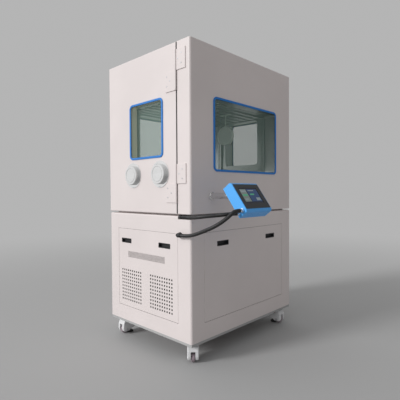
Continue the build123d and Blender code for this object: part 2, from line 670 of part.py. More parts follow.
with BuildPart() as door_window_glass:
    for depth in (PANE_SET, DOOR_THICKNESS - 2.0):
        with BuildSketch(left_face(depth)):
            with Locations((FRONT + SIDE_WINDOW[0], SIDE_WINDOW[1])):
                RectangleRounded(
                    SIDE_WINDOW[2] - GLASS_TRIM, SIDE_WINDOW[3] - GLASS_TRIM, WINDOW_RADIUS - 8
                )
        extrude(amount=PANE)
write(door_window_glass.part, "door_window_glass")

with BuildPart() as door_window_gasket:
    with BuildSketch(left_face(-GASKET_PROUD)):
        with Locations((FRONT + SIDE_WINDOW[0], SIDE_WINDOW[1])):
            RectangleRounded(SIDE_WINDOW[2], SIDE_WINDOW[3], WINDOW_RADIUS)
            RectangleRounded(
                SIDE_WINDOW[2] - 2 * GASKET_WIDTH,
                SIDE_WINDOW[3] - 2 * GASKET_WIDTH,
                WINDOW_RADIUS - GASKET_WIDTH,
                mode=Mode.SUBTRACT,
            )
    extrude(amount=GASKET_PROUD)
    fillet(door_window_gasket.faces().sort_by(Axis.X)[0].edges(), GASKET_ROUND)
write(door_window_gasket.part, "door_window_gasket")

# Port sleeves: a tube through the door with a flange outside
PORT_FLANGE_THICKNESS = 3.0
with BuildPart() as port_sleeves:
    for y in PORT_YS:
        with BuildSketch(left_face(-PORT_FLANGE_THICKNESS)):
            with Locations((FRONT + y, PORT_Z)):
                Circle(PORT_FLANGE)
        extrude(amount=PORT_FLANGE_THICKNESS)
        with BuildSketch(left_face(0)):
            with Locations((FRONT + y, PORT_Z)):
                Circle(PORT_SLEEVE - 0.1)
        extrude(amount=DOOR_THICKNESS + 2.0)
        with BuildSketch(left_face(-PORT_FLANGE_THICKNESS - 1)):
            with Locations((FRONT + y, PORT_Z)):
                Circle(PORT_BORE)
        extrude(amount=DOOR_THICKNESS + 10.0, mode=Mode.SUBTRACT)
write(port_sleeves.part, "port_sleeves")


def port_cap(y):
    """Turned cap: a bevelled drum with a ring groove in its face, and a plug for the bore."""
    seat = PORT_FLANGE_THICKNESS + 0.3
    outline = [
        (0, -PLUG_DEPTH),
        (PLUG_RADIUS, -PLUG_DEPTH),
        (PLUG_RADIUS, seat),
        (CAP_RADIUS, seat),
        (CAP_RADIUS, CAP_REACH - CAP_BEVEL),
        (CAP_RADIUS - CAP_BEVEL, CAP_REACH),
        (47.0, CAP_REACH),
        (45.5, CAP_REACH - CAP_GROOVE),
        (43.5, CAP_REACH - CAP_GROOVE),
        (42.0, CAP_REACH),
        (0, CAP_REACH),
    ]
    with BuildPart() as cap:
        with BuildSketch(Plane(origin=(LEFT, FRONT + y, PORT_Z), x_dir=(0, 0, 1), z_dir=(0, 1, 0))):
            with BuildLine():
                Polyline(*[(radius, -reach) for radius, reach in outline], close=True)
            make_face()
        revolve(axis=Axis((LEFT, FRONT + y, PORT_Z), (1, 0, 0)))
    return cap.part


write(port_cap(PORT_YS[0]), "port_cap_right")
write(port_cap(PORT_YS[1]), "port_cap_left")

# Latch on the back wall: a lever that swings down over a stud on the door's edge
LATCH_X = 118.0
LATCH_Z = 1334.0
STRIKE_X = 30.0
STUD_RADIUS = 5.0
LEVER_START = 9.5
LEVER_THICKNESS = 6.0
HOOK_REACH = LATCH_X - STRIKE_X
back_face = Plane(origin=(0, BACK, 0), x_dir=(-1, 0, 0), z_dir=(0, 1, 0))
with BuildPart() as latch_base:
    with BuildSketch(back_face):
        with Locations((-(LEFT + LATCH_X + 12), LATCH_Z)):
            RectangleRounded(80.0, 100.0, 10.0)
    extrude(amount=9.0)
    with BuildSketch(back_face):
        with Locations((-(LEFT + LATCH_X), LATCH_Z)):
            Circle(7.0)
    extrude(amount=LEVER_START + LEVER_THICKNESS + 3.0)
    with BuildSketch(back_face.offset(LEVER_START + LEVER_THICKNESS + 0.3)):
        with Locations((-(LEFT + LATCH_X), LATCH_Z)):
            Circle(11.0)
    extrude(amount=3.0)
write(latch_base.part, "latch_base")

with BuildPart() as latch_lever:
    with BuildSketch(back_face.offset(LEVER_START)):
        with Locations((-(LEFT + LATCH_X), LATCH_Z)):
            Circle(18.0)
        with Locations((-(LEFT + LATCH_X), LATCH_Z + HOOK_REACH / 2 + 8)):
            Rectangle(22.0, HOOK_REACH + 16)
        with Locations((-(LEFT + LATCH_X) + 4, LATCH_Z + HOOK_REACH)):
            Rectangle(46.0, 32.0)
        with Locations((-(LEFT + LATCH_X + 70), LATCH_Z)):
            RectangleRounded(140.0, 24.0, 11.0)
        with Locations((-(LEFT + LATCH_X) + 14.5, LATCH_Z + HOOK_REACH)):
            Rectangle(43.0, 16.0, mode=Mode.SUBTRACT)
        with Locations((-(LEFT + LATCH_X), LATCH_Z)):
            Circle(7.0 + RUNNING_GAP, mode=Mode.SUBTRACT)
    extrude(amount=LEVER_THICKNESS)
    with BuildSketch(back_face.offset(LEVER_START)):
        with Locations((-(LEFT + LATCH_X + 105), LATCH_Z)):
            RectangleRounded(66.0, 20.0, 9.0)
    extrude(amount=LATCH_REACH - LEVER_START)
    fillet(latch_lever.faces().sort_by(Axis.Y)[-1].edges(), 4.0)
write(latch_lever.part, "latch_lever")

with BuildPart() as latch_strike:
    with BuildSketch(back_face):
        with Locations((-(LEFT + STRIKE_X), LATCH_Z)):
            RectangleRounded(40.0, 44.0, 6.0)
    extrude(amount=3.0)
    with BuildSketch(back_face):
        with Locations((-(LEFT + STRIKE_X), LATCH_Z)):
            Circle(STUD_RADIUS)
    extrude(amount=LEVER_START + LEVER_THICKNESS + 2.0)
write(latch_strike.part, "latch_strike")

# Service panels: pans with pull cut-outs, and cooling holes in the left one
HOLE = 11.0
HOLE_PITCH = 21.6
HOLE_FIELDS = [257.5, 551.5]
HOLE_FIELD_Z = 366.5
SLOT_COUNT = 46
SLOT_STEP = 7.9
with BuildPart() as service_panel_left:
    start, end, low, high = LEFT_PANEL
    block(
        (0, start + PANEL_GAP, low + PANEL_GAP),
        (PANEL_DEPTH, end - PANEL_GAP, high - PANEL_GAP),
    )
    fillet(service_panel_left.faces().sort_by(Axis.X)[0].edges(), PANEL_ROUND)
    block(
        (SHEET, start + PANEL_GAP + SHEET, low + PANEL_GAP + SHEET),
        (PANEL_DEPTH + 1, end - PANEL_GAP - SHEET, high - PANEL_GAP - SHEET),
        mode=Mode.SUBTRACT,
    )
    with BuildSketch(left_face(-1)):
        for y in LEFT_PULLS:
            with Locations((FRONT + y, LEFT_PULL_Z)):
                Rectangle(PULL_WIDTH - 4, PULL_HEIGHT - 4)
        for y in HOLE_FIELDS:
            with Locations((FRONT + y, HOLE_FIELD_Z)):
                with GridLocations(HOLE_PITCH, HOLE_PITCH, 10, 10):
                    Rectangle(HOLE, HOLE)
        with Locations((FRONT + 403.5, 571.0)):
            with GridLocations(SLOT_STEP, 0, SLOT_COUNT, 1):
                Rectangle(3.6, 40.0)
    extrude(amount=2 * SHEET, mode=Mode.SUBTRACT)
write(service_panel_left.part, "service_panel_left")

with BuildPart() as service_panel_front:
    start, end, low, high = FRONT_PANEL
    block(
        (start + PANEL_GAP, 0, low + PANEL_GAP),
        (end - PANEL_GAP, PANEL_DEPTH, high - PANEL_GAP),
    )
    fillet(service_panel_front.faces().sort_by(Axis.Y)[0].edges(), PANEL_ROUND)
    block(
        (start + PANEL_GAP + SHEET, SHEET, low + PANEL_GAP + SHEET),
        (end - PANEL_GAP - SHEET, PANEL_DEPTH + 1, high - PANEL_GAP - SHEET),
        mode=Mode.SUBTRACT,
    )
    with BuildSketch(front_face(-1)):
        for x in FRONT_PULLS:
            with Locations((LEFT + x, FRONT_PULL_Z)):
                Rectangle(PULL_WIDTH - 4, PULL_HEIGHT - 4)
    extrude(amount=-2 * SHEET, mode=Mode.SUBTRACT)
write(service_panel_front.part, "service_panel_front")


def pull_cup(plane, out):
    """Moulded finger pull: a thin rim on the face and a cup behind it."""
    with BuildPart() as pull:
        with BuildSketch(plane):
            RectangleRounded(PULL_WIDTH, PULL_HEIGHT, 3.0)
        extrude(amount=1.5 * out)
        with BuildSketch(plane):
            Rectangle(PULL_WIDTH - 4.2, PULL_HEIGHT - 4.2)
        extrude(amount=-PULL_DEPTH * out)
        with BuildSketch(plane.offset(2.0 * out)):
            Rectangle(PULL_WIDTH - 10, PULL_HEIGHT - 9)
        extrude(amount=-PULL_DEPTH * out, mode=Mode.SUBTRACT)
    return pull.part


left_cups = []
for y in LEFT_PULLS:
    spot = Plane(origin=(LEFT, FRONT + y, LEFT_PULL_Z), x_dir=(0, 1, 0), z_dir=(1, 0, 0))
    left_cups.append(pull_cup(spot, -1))
write(Compound(children=left_cups), "panel_pulls_left")

front_cups = []
for x in FRONT_PULLS:
    spot = Plane(origin=(LEFT + x, FRONT, FRONT_PULL_Z), x_dir=(1, 0, 0), z_dir=(0, -1, 0))
    front_cups.append(pull_cup(spot, 1))
write(Compound(children=front_cups), "panel_pulls_front")

# Machine space: compressor on feet, condenser with its fan, electrics and humidifier
PAN_TOP = LOWER_BOTTOM + SHEET
COMPRESSOR_X = 620.0
COMPRESSOR_Y = 520.0
can_plane = Plane(
    origin=(LEFT + COMPRESSOR_X, FRONT + COMPRESSOR_Y, PAN_TOP + 150),
    x_dir=(1, 0, 0),
    z_dir=(0, -1, 0),
)
can_outline = [(0, -130), (95, -130), (100, -118), (100, 60), (82, 108), (0, 122)]
with BuildPart() as compressor:
    with BuildSketch(can_plane):
        with BuildLine():
            Polyline(*can_outline, close=True)
        make_face()
    revolve(axis=Axis((LEFT + COMPRESSOR_X, FRONT + COMPRESSOR_Y, 0), (0, 0, 1)))
    with Locations((LEFT + COMPRESSOR_X, FRONT + COMPRESSOR_Y, PAN_TOP + 18)):
        Box(260.0, 170.0, 6.0)
    with Locations((LEFT + COMPRESSOR_X, FRONT + COMPRESSOR_Y, PAN_TOP + 10)):
        with GridLocations(220.0, 130.0, 2, 2):
            Cylinder(14.0, 20.0)
write(compressor.part, "compressor")

CONDENSER_X = 975.0
CONDENSER_FAN_RADIUS = 140.0
with BuildPart() as condenser:
    with Locations((LEFT + CONDENSER_X, MIDDLE_Y, 420.0)):
        with GridLocations(0, 30.0, 1, 14):
            Box(60.0, 1.5, 340.0)
    for z in (290.0, 350.0, 420.0, 490.0, 550.0):
        with Locations((LEFT + CONDENSER_X, MIDDLE_Y, z)):
            Box(30.0, 450.0, 5.0)
    block((CONDENSER_X - 32, DEPTH / 2 - 235, PAN_TOP), (CONDENSER_X + 32, DEPTH / 2 - 222, 600))
    block((CONDENSER_X - 32, DEPTH / 2 + 222, PAN_TOP), (CONDENSER_X + 32, DEPTH / 2 + 235, 600))
    with Locations((LEFT + CONDENSER_X - 60, MIDDLE_Y, 420.0)):
        Box(12.0, 450.0, 40.0)
        Cylinder(38.0, 40.0, rotation=(0, 90, 0))
    for y in (-226.0, 226.0):
        with Locations((LEFT + CONDENSER_X - 47, MIDDLE_Y + y, 420.0)):
            Box(38.0, 10.0, 40.0)
    with Locations((LEFT + CONDENSER_X - 95, MIDDLE_Y, 420.0)):
        Cylinder(5.0, 60.0, rotation=(0, 90, 0))
write(condenser.part, "condenser")

CONDENSER_BLADES = 6
with BuildPart() as condenser_fan:
    with Locations((LEFT + CONDENSER_X - 103, MIDDLE_Y, 420.0)):
        Cylinder(24.0, 36.0, rotation=(0, 90, 0))
    fan_plane = Plane(
        origin=(LEFT + CONDENSER_X - 103, MIDDLE_Y, 420.0), x_dir=(0, 1, 0), z_dir=(1, 0, 0)
    )
    with Locations(fan_plane):
        with PolarLocations(78.0, CONDENSER_BLADES):
            Box(116.0, 50.0, 2.5, rotation=(25, 0, 0))
    with Locations((LEFT + CONDENSER_X - 103, MIDDLE_Y, 420.0)):
        Cylinder(5.0 + RUNNING_GAP, 50.0, rotation=(0, 90, 0), mode=Mode.SUBTRACT)
write(condenser_fan.part, "condenser_fan")

with BuildPart() as electrical_box:
    block((160, 60, 330), (460, 170, 700))
    chamfer(electrical_box.edges().filter_by(Axis.Z), 3.0)
    block((164, 64, 334), (456, 166, 696), mode=Mode.SUBTRACT)
    block((250, 100, 329), (370, 150, 335), mode=Mode.SUBTRACT)
    with Locations((LEFT + 310.0, FRONT + 60.0, 560.0)):
        with GridLocations(36.0, 0, 7, 1):
            Box(30.0, 40.0, 70.0)
    block((180, 100, PAN_TOP), (210, 160, 331))
    block((410, 100, PAN_TOP), (440, 160, 331))
write(electrical_box.part, "electrical_box")

with BuildPart() as humidifier:
    block((140, 420, PAN_TOP), (330, 680, 380))
    fillet(humidifier.edges().filter_by(Axis.Z), 20.0)
    block((150, 430, PAN_TOP + 3), (320, 670, 377), mode=Mode.SUBTRACT)
    with Locations((LEFT + 235.0, FRONT + 550.0, 390.0)):
        Cylinder(34.0, 24.0)
        Cylinder(30.0, 60.0, mode=Mode.SUBTRACT)
write(humidifier.part, "humidifier")

# Chrome arm out of the front wall, ending in the knuckle the head tilts on
ARM_RADIUS = 18.0
COLLAR_RADIUS = 23.0
COLLAR_LENGTH = 7.0
ARM_LENGTH = 160.0
KNUCKLE_RADIUS = 14.0
KNUCKLE_HALF = 13.0
SPINDLE_RADIUS = 5.0
with BuildPart() as control_arm:
    with BuildSketch(front_face(0)):
        with Locations((LEFT + HEAD_X, SPINDLE_Z)):
            Circle(COLLAR_RADIUS)
    extrude(amount=COLLAR_LENGTH)
    chamfer(control_arm.edges().group_by(Axis.Y)[0], 2.0)
    with BuildSketch(front_face(0)):
        with Locations((LEFT + HEAD_X, SPINDLE_Z)):
            Circle(ARM_RADIUS)
    extrude(amount=ARM_LENGTH)
    fillet(control_arm.edges().group_by(Axis.Y)[0], 6.0)
    with Locations((LEFT + HEAD_X, FRONT - (ARM_LENGTH + SPINDLE_REACH) / 2 + 1, SPINDLE_Z)):
        Box(2 * KNUCKLE_HALF, SPINDLE_REACH - ARM_LENGTH + 2, 2 * KNUCKLE_HALF - 4)
    with Locations((LEFT + HEAD_X, FRONT - SPINDLE_REACH, SPINDLE_Z)):
        Cylinder(KNUCKLE_RADIUS, 2 * KNUCKLE_HALF, rotation=(0, 90, 0))
        Cylinder(SPINDLE_RADIUS + RUNNING_GAP, 60.0, rotation=(0, 90, 0), mode=Mode.SUBTRACT)
write(control_arm.part, "control_arm")

# Head plane: x along the spindle, y up the panel, z out of its face
head_plane = Plane(
    origin=(LEFT + HEAD_X, FRONT - SPINDLE_REACH, SPINDLE_Z),
    x_dir=(1, 0, 0),
    z_dir=(0, -TILT_COS, TILT_SIN),
)
HOUSING_WALL = 3.0
POCKET_HALF = 18.0
POCKET_HIGH = 62.0
POCKET_LOW = -22.0
POCKET_FRONT = 17.0
LEDGE = 4.0
SEAT_DEPTH = 6.0
with BuildPart() as housing_space:
    with BuildSketch(head_plane.offset(HOUSING_BACK + HOUSING_WALL)):
        with Locations((0, (HOUSING_HIGH + HOUSING_LOW) / 2)):
            Rectangle(
                HOUSING_WIDTH - 2 * HOUSING_WALL, HOUSING_HIGH - HOUSING_LOW - 3 * HOUSING_WALL
            )
    extrude(amount=PANEL_FACE - SEAT_DEPTH - LEDGE - HOUSING_BACK - HOUSING_WALL)
    with BuildSketch(head_plane):
        with Locations((0, BEZEL_MIDDLE)):
            Rectangle(BEZEL_WIDTH - 8.0 - 2 * LEDGE, BEZEL_HEIGHT - 8.0 - 2 * LEDGE)
    extrude(amount=PANEL_FACE - SEAT_DEPTH + 1)
    with BuildSketch(head_plane.offset(HOUSING_BACK)):
        with Locations((0, (POCKET_HIGH + POCKET_LOW) / 2)):
            Rectangle(
                2 * (POCKET_HALF + HOUSING_WALL), POCKET_HIGH - POCKET_LOW + 2 * HOUSING_WALL
            )
    extrude(amount=POCKET_FRONT + HOUSING_WALL - HOUSING_BACK, mode=Mode.SUBTRACT)
    with Locations((LEFT + HEAD_X + HOUSING_WIDTH / 4, FRONT - SPINDLE_REACH, SPINDLE_Z)):
        Cylinder(
            SPINDLE_RADIUS + HOUSING_WALL, HOUSING_WIDTH / 2, rotation=(0, 90, 0), mode=Mode.SUBTRACT
        )
with BuildPart() as control_housing:
    with BuildSketch(head_plane.offset(HOUSING_BACK)):
        with Locations((0, (HOUSING_HIGH + HOUSING_LOW) / 2)):
            Rectangle(HOUSING_WIDTH, HOUSING_HIGH - HOUSING_LOW)
    extrude(amount=PANEL_FACE - HOUSING_BACK)
    along = control_housing.edges().filter_by(Axis.X)
    front_edges = [e for e in along if head_plane.to_local_coords(e.center()).Z > 0]
    fillet(front_edges, HOUSING_ROUND)
    back_edges = [
        e
        for e in control_housing.edges().filter_by(Axis.X)
        if head_plane.to_local_coords(e.center()).Z < HOUSING_BACK + 1
    ]
    fillet(back_edges, 4.0)
    side_faces = control_housing.faces().filter_by(Plane.YZ)
    chamfer(side_faces.edges(), 1.0)
    # Seat of the panel, the space behind it, then the pocket for the arm's knuckle
    add(housing_space.part, mode=Mode.SUBTRACT)
    with BuildSketch(head_plane.offset(PANEL_FACE - SEAT_DEPTH)):
        with Locations((0, BEZEL_MIDDLE)):
            Rectangle(BEZEL_WIDTH - 8.0, BEZEL_HEIGHT - 8.0)
    extrude(amount=10.0, mode=Mode.SUBTRACT)
    with BuildSketch(head_plane.offset(HOUSING_BACK - 1)):
        with Locations((0, (POCKET_HIGH + POCKET_LOW) / 2)):
            Rectangle(2 * POCKET_HALF, POCKET_HIGH - POCKET_LOW)
    extrude(amount=POCKET_FRONT - HOUSING_BACK + 1, mode=Mode.SUBTRACT)
    with Locations((LEFT + HEAD_X + 60, FRONT - SPINDLE_REACH, SPINDLE_Z)):
        Cylinder(
            SPINDLE_RADIUS + RUNNING_GAP, HOUSING_WIDTH, rotation=(0, 90, 0), mode=Mode.SUBTRACT
        )
write(control_housing.part, "control_housing")

with BuildPart() as control_screen:
    with BuildSketch(head_plane.offset(PANEL_FACE - 5.0)):
        with Locations((0, BEZEL_MIDDLE)):
            Rectangle(BEZEL_WIDTH - 10.0, BEZEL_HEIGHT - 10.0)
    extrude(amount=5.0)
    with BuildSketch(head_plane.offset(PANEL_FACE)):
        with Locations((0, BEZEL_MIDDLE)):
            RectangleRounded(BEZEL_WIDTH, BEZEL_HEIGHT, 3.0)
        with Locations((-4.0, BEZEL_MIDDLE + 4.0)):
            Rectangle(158.0, 96.0, mode=Mode.SUBTRACT)
    extrude(amount=2.0)
write(control_screen.part, "control_screen")

# Clamp knob on the spindle's right end
KNOB_START = HOUSING_WIDTH / 2 + 22.0
KNOB_LENGTH = 16.0
KNOB_RADIUS = 9.5
with BuildPart() as tilt_knob:
    shaft_start = -POCKET_HALF - 22
    with Locations(
        (LEFT + HEAD_X + (shaft_start + KNOB_START) / 2, FRONT - SPINDLE_REACH, SPINDLE_Z)
    ):
        Cylinder(SPINDLE_RADIUS, KNOB_START - shaft_start, rotation=(0, 90, 0))
    with Locations((LEFT + HEAD_X + KNOB_START + KNOB_LENGTH / 2, FRONT - SPINDLE_REACH, SPINDLE_Z)):
        Cylinder(KNOB_RADIUS, KNOB_LENGTH, rotation=(0, 90, 0))
    fillet(tilt_knob.edges().group_by(Axis.X)[-1], 3.0)
write(tilt_knob.part, "tilt_knob")


def head_point(across, up, out):
    """Point given in the head's own directions, in the part's frame."""
    y = FRONT - SPINDLE_REACH + up * TILT_SIN - out * TILT_COS
    z = SPINDLE_Z + up * TILT_COS + out * TILT_SIN
    return (LEFT + HEAD_X + across, y, z)


# Plated glands in the head's left side, and the rubber plug in its right side
with BuildPart() as head_glands:
    for out in GLAND_DEPTHS:
        x, y, z = head_point(-HOUSING_WIDTH / 2, GLAND_LOW, out)
        with Locations((x - GLAND_LENGTH / 2, y, z)):
            Cylinder(GLAND_RADIUS - 1.5, GLAND_LENGTH, rotation=(0, 90, 0))
        with Locations((x - 5.0, y, z)):
            Cylinder(GLAND_RADIUS, 10.0, rotation=(0, 90, 0))
    x, y, z = head_point(HOUSING_WIDTH / 2, -88.0, 6.0)
    with Locations((x + 9.0, y, z)):
        Cylinder(9.0, 18.0, rotation=(0, 90, 0))
write(head_glands.part, "head_glands")

# Routes of the two conduits, from the cabinet's front left edge
gland_x, lower_y, lower_z = head_point(-HOUSING_WIDTH / 2 - GLAND_LENGTH, GLAND_LOW, GLAND_DEPTHS[0])
gland_x, upper_y, upper_z = head_point(-HOUSING_WIDTH / 2 - GLAND_LENGTH, GLAND_LOW, GLAND_DEPTHS[1])
UPPER_ROUTE = [
    (34.0, upper_y - FRONT, upper_z),
    (-8.0, upper_y - FRONT, upper_z),
    (-46.0, -270.0, 861.0),
    (-72.0, -233.0, 857.0),
    (-78.0, -180.0, 851.0),
    (-64.0, -120.0, 844.0),
    (-34.0, -62.0, 838.0),
    (-2.0, -6.0, 835.0),
    (15.0, 42.0, 833.0),
    (15.0, 88.0, 833.0),
]
LOWER_ROUTE = [
    (34.0, lower_y - FRONT, lower_z),
    (0.0, lower_y - FRONT, lower_z),
    (-32.0, -307.0, 863.0),
    (-54.0, -291.0, 840.0),
    (-63.0, -259.0, 817.0),
    (-61.0, -208.0, 794.0),
    (-50.0, -142.0, 772.0),
    (-36.0, -76.0, 751.0),
    (-26.0, -16.0, 737.0),
    (-22.0, 34.0, 733.0),
    (-22.0, 62.0, 733.0),
]


def conduit(route, label):
    """Round conduit along straight runs joined by the largest arcs they allow."""
    points = [Vector(LEFT + x, FRONT + y, z) for x, y, z in route]
    radii = []
    for before, here, after in zip(points, points[1:], points[2:]):
        half_turn = math.radians((here - before).get_angle(after - here)) / 2
        run = min((here - before).length, (after - here).length)
        radii.append(0.45 * run / math.tan(half_turn))
    with BuildPart() as tube:
        with BuildLine() as path:
            FilletPolyline(*points, radius=radii)
        with BuildSketch(Plane(origin=path.line @ 0, z_dir=path.line % 0)):
            Circle(CONDUIT_DIAMETER / 2)
        sweep(path=path.wire())
    length = path.wire().length
    share = tube.part.volume / (math.pi * (CONDUIT_DIAMETER / 2) ** 2 * length)
    print(label, "length", round(length), "radii", [round(r) for r in radii])
    print(label, "volume over section times length", round(share, 4))
    return tube.part


write(conduit(UPPER_ROUTE, "conduit_upper"), "conduit_upper")
write(conduit(LOWER_ROUTE, "conduit_lower"), "conduit_lower")

# Elbow gland on the stile's foot, grommet in the notch and supply gland on the right
ELBOW_RADIUS = 12.5
ELBOW_X = ELBOW_RADIUS - ELBOW_REACH
ELBOW_Z = 733.0
with BuildPart() as wall_glands:
    with Locations((LEFT - 4.0, FRONT + 84.0, ELBOW_Z)):
        Cylinder(15.0, 8.0, rotation=(0, 90, 0))
    with Locations((LEFT + ELBOW_X / 2, FRONT + 84.0, ELBOW_Z)):
        Cylinder(10.0, -ELBOW_X, rotation=(0, 90, 0))
    with Locations((LEFT + ELBOW_X, FRONT + 84.0, ELBOW_Z)):
        Sphere(11.0)
    with Locations((LEFT + ELBOW_X, FRONT + 73.0, ELBOW_Z)):
        Cylinder(ELBOW_RADIUS, 22.0, rotation=(90, 0, 0))
    with Locations((LEFT + 15.0, FRONT + 96.5, 833.0)):
        Cylinder(11.5, 17.0, rotation=(90, 0, 0))
    with Locations((RIGHT + SUPPLY_REACH / 2 - 6, FRONT + SUPPLY_Y, SUPPLY_Z)):
        Cylinder(SUPPLY_RADIUS - 0.5, SUPPLY_REACH + 12, rotation=(0, 90, 0))
    with Locations((RIGHT + 4, FRONT + SUPPLY_Y, SUPPLY_Z)):
        Cylinder(SUPPLY_RADIUS + 6, 8, rotation=(0, 90, 0))
write(wall_glands.part, "wall_glands")

# Casters
with BuildPart() as caster_plates:
    for label, side_x, side_y, heading in CASTERS:
        x = MIDDLE_X + side_x * (WIDTH / 2 - CASTER_INSET_X)
        y = MIDDLE_Y + side_y * (DEPTH / 2 - CASTER_INSET_Y)
        with Locations((x, y, FRAME_BOTTOM - PLATE_THICKNESS / 2)):
            Box(PLATE_SIDE, PLATE_SIDE, PLATE_THICKNESS)
        with Locations((x, y, FRAME_BOTTOM - PLATE_THICKNESS - 2.0)):
            Cylinder(22.0, 4.0)
        with Locations((x, y, FRAME_BOTTOM - PLATE_THICKNESS - 10.0)):
            Cylinder(6.0, 14.0)
write(caster_plates.part, "caster_plates")

YOKE_TOP = 103.0
YOKE_BOTTOM = 18.0
YOKE_HALF = 33.0
YOKE_OUTLINE = [
    (-56, 40), (-54, 70), (-44, 92), (-24, YOKE_TOP), (24, YOKE_TOP), (44, 94), (50, 76),
    (50, 50), (40, 36), (8, 30), (-4, YOKE_BOTTOM), (-42, YOKE_BOTTOM), (-52, 26),
]
WHEEL_SLOT = 27.0
WINDOW_LOW = 72.0
WINDOW_HIGH = 90.0
WINDOW_START = -18.0
AXLE_RADIUS = 4.0
SWIVEL_RADIUS = 6.0
WHEEL_Z = WHEEL_CLEARANCE + WHEEL_RADIUS
BEARING_Z = FRAME_BOTTOM - PLATE_THICKNESS - 4.0


def caster_yoke():
    """Die-cast housing: wheel slot, openings for the thumbwheel, bores for stem and swivel."""
    with BuildPart() as yoke:
        with BuildSketch(Plane.XZ):
            with BuildLine():
                Polyline(*YOKE_OUTLINE, close=True)
            make_face()
        extrude(amount=YOKE_HALF, both=True)
        side_edges = yoke.edges().filter_by(lambda e: abs(abs(e.center().Y) - YOKE_HALF) < 0.1)
        fillet(side_edges, 7.0)
        with Locations((-44, 0, 29)):
            Box(100.0, WHEEL_SLOT, 78.0, mode=Mode.SUBTRACT)
        with Locations((WINDOW_START + 40, 0, (WINDOW_LOW + WINDOW_HIGH) / 2)):
            Box(80.0, 90.0, WINDOW_HIGH - WINDOW_LOW, mode=Mode.SUBTRACT)
        with Locations((0, 0, YOKE_TOP)):
            Cylinder(20.0, 2 * (BEARING_Z - RUNNING_GAP - YOKE_TOP))
            Cylinder(SWIVEL_RADIUS + RUNNING_GAP, 40.0, mode=Mode.SUBTRACT)
        with Locations((STEM_FORWARD, 0, 51)):
            Cylinder(STEM_RADIUS + RUNNING_GAP, 98.0, mode=Mode.SUBTRACT)
        with Locations((WHEEL_BACK, 0, WHEEL_Z)):
            Cylinder(AXLE_RADIUS, 2 * YOKE_HALF - 4, rotation=(90, 0, 0))
    return yoke.part


def caster_wheel():
    """Wheel with a rounded tread and a bore for the axle."""
    with BuildPart() as wheel:
        with Locations((WHEEL_BACK, 0, WHEEL_Z)):
            Cylinder(WHEEL_RADIUS, WHEEL_WIDTH, rotation=(90, 0, 0))
        chamfer(wheel.edges().filter_by(GeomType.CIRCLE), 3.0)
        with Locations((WHEEL_BACK, 0, WHEEL_Z)):
            Cylinder(AXLE_RADIUS + RUNNING_GAP, 40.0, rotation=(90, 0, 0), mode=Mode.SUBTRACT)
    return wheel.part


def levelling_foot():
    """Rubber-soled pad, stem and the toothed thumbwheel, which meet face to face."""
    with BuildPart() as pad:
        with Locations((STEM_FORWARD, 0, PAD_HEIGHT / 2)):
            Cylinder(FOOT_RADIUS, PAD_HEIGHT)
        chamfer(pad.edges().group_by(Axis.Z)[-1], 3.0)
    with BuildPart() as stem:
        with Locations((STEM_FORWARD, 0, (PAD_HEIGHT + THUMBWHEEL_LOW) / 2)):
            Cylinder(STEM_RADIUS, THUMBWHEEL_LOW - PAD_HEIGHT)
    with BuildPart() as thumbwheel:
        with Locations((STEM_FORWARD, 0, THUMBWHEEL_LOW + THUMBWHEEL_THICKNESS / 2)):
            Cylinder(THUMBWHEEL_RADIUS - 2, THUMBWHEEL_THICKNESS)
            with PolarLocations(THUMBWHEEL_RADIUS - 2, 24):
                Box(4.0, 4.0, THUMBWHEEL_THICKNESS)
    with BuildPart() as stem_end:
        with Locations((STEM_FORWARD, 0, (THUMBWHEEL_LOW + THUMBWHEEL_THICKNESS + STEM_TOP) / 2)):
            Cylinder(STEM_RADIUS, STEM_TOP - THUMBWHEEL_LOW - THUMBWHEEL_THICKNESS)
    return Compound(children=[pad.part, stem.part, thumbwheel.part, stem_end.part])


for label, side_x, side_y, heading in CASTERS:
    spot = Location(
        (
            MIDDLE_X + side_x * (WIDTH / 2 - CASTER_INSET_X),
            MIDDLE_Y + side_y * (DEPTH / 2 - CASTER_INSET_Y),
            0,
        ),
        (0, 0, heading),
    )
    write(caster_yoke().moved(spot), f"caster_yoke_{label}")
    write(caster_wheel().moved(spot), f"caster_wheel_{label}")
    write(levelling_foot().moved(spot), f"levelling_foot_{label}")
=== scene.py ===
import math

import bpy
from mathutils import Matrix, Vector


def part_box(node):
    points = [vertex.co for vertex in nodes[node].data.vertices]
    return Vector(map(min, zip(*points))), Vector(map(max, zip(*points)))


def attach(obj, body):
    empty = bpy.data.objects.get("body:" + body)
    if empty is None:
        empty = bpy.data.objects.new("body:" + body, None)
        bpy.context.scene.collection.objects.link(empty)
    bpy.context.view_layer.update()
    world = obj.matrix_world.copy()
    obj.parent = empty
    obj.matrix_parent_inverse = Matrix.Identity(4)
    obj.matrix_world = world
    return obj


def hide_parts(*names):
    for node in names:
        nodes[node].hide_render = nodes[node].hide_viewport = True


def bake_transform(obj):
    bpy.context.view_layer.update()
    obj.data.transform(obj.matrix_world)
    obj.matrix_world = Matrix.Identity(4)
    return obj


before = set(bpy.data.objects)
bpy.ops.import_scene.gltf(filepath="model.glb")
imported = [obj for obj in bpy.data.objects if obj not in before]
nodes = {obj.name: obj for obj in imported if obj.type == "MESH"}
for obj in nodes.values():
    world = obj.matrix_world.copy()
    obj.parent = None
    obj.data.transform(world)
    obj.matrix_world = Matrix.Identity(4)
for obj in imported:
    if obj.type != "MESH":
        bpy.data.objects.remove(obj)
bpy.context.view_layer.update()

bpy.ops.object.select_all(action="DESELECT")

# The cabinet's own corner, from which the model's dimensions are counted in metres
casing_low, casing_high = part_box("lower_casing")
LEFT, FRONT = casing_low.x, casing_low.y
RIGHT, BACK = casing_high.x, casing_high.y


def cabinet(x, y, z):
    """Point counted from the cabinet's front left edge, at height z over the floor."""
    return Vector((LEFT + x, FRONT + y, z))


